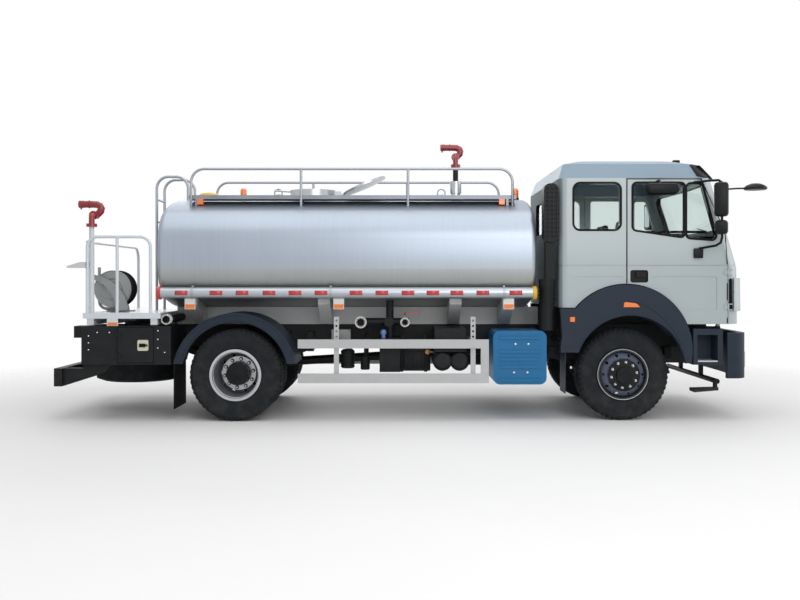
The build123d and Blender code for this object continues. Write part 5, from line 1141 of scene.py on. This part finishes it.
addTube(bm, [Vector(service["valveSpot"]) + Vector((step, 0, 0)) for step in service["valveSteps"]],
        service["valvePipe"], 10)
piece("drainValve", bm, "chassis", "brass", 40)
print("service parts made")

# yellow cap of the tank's vent
vent = {
    "spot": (-2.566, 0, 2.690),
    "dome": ((0, 0), (0.145, 0), (0.148, 0.012), (0.138, 0.034), (0.105, 0.056), (0.05, 0.069), (0, 0.072)),
}
turned("ventCap", "chassis", "yellow", 50, [(vent["spot"], (0, 0, 1), vent["dome"], 40)])
print("vent cap made")

# camera at the photograph's place
eye = {"spot": (-0.092, -11.75, 1.636), "lens": 41.0, "shift": (-0.00125, -0.025)}
camera = bpy.data.objects.new("camera", bpy.data.cameras.new("camera"))
bpy.context.scene.collection.objects.link(camera)
camera.location = eye["spot"]
camera.rotation_euler = (math.radians(90), 0, 0)
camera.data.lens = eye["lens"]
camera.data.shift_x, camera.data.shift_y = eye["shift"]
bpy.context.scene.camera = camera

# studio: pale floor that fades out, soft lamps
studio = {
    "lamps": [  # name, place, aim, size, watts
        ("overhead", (0, -1.5, 9), (0, 0, 1), 11, 420),
        ("front", (3, -11, 5.5), (0, 0, 1.4), 7, 420),
        ("back", (-3, 10, 6), (0, 0, 1.4), 8, 300),
        ("nose", (11, -1, 4), (2, 0, 1.5), 6, 190),
    ],
    "ambient": 0.36, "whiteRays": ("Is Camera Ray", "Is Glossy Ray", "Is Transmission Ray"),
    "floorRadius": 14, "floorFade": (5.0, 9.0), "floorTones": ((0.93, 0.93, 0.93, 1), (0.97, 0.97, 0.97, 1)),
}
for name, spot, aim, size, watts in studio["lamps"]:
    lamp = bpy.data.objects.new(name, bpy.data.lights.new(name, "AREA"))
    lamp.data.size = size
    lamp.data.energy = watts
    lamp.location = spot
    lamp.rotation_euler = (Vector(aim) - Vector(spot)).to_track_quat("-Z", "Y").to_euler()
    bpy.context.scene.collection.objects.link(lamp)

world = bpy.data.worlds.new("studio")
bpy.context.scene.world = world
world.use_nodes = True
sky = Tree(world.node_tree, "Background")
direct = sum((sky.add("ShaderNodeLightPath", out=ray) for ray in studio["whiteRays"]), 0)
sky.set("Strength", studio["ambient"] + direct.above(0, 1) * (1 - studio["ambient"]))
sky.set("Color", (1, 1, 1, 1))

bm = bmesh.new()
bmesh.ops.create_circle(bm, cap_ends=True, segments=96, radius=studio["floorRadius"])
floorMesh = bpy.data.meshes.new("floor")
bm.to_mesh(floorMesh)
bm.free()
floor = bpy.data.objects.new("floor", floorMesh)
bpy.context.scene.collection.objects.link(floor)
ground = Paint("paleFloor", {"Roughness": 0.7})
reach = ground.add("ShaderNodeVectorMath", {"operation": "LENGTH"}, {0: ground.place()}, out=1)
ground.set("Base Color", ground.mix(ground.noise(0.6), *studio["floorTones"]))
ground.set("Alpha", 1 - reach.above(*studio["floorFade"]))
floorMesh.materials.append(ground.material)

bpy.context.scene.view_settings.view_transform = "Standard"
print("scene ready")
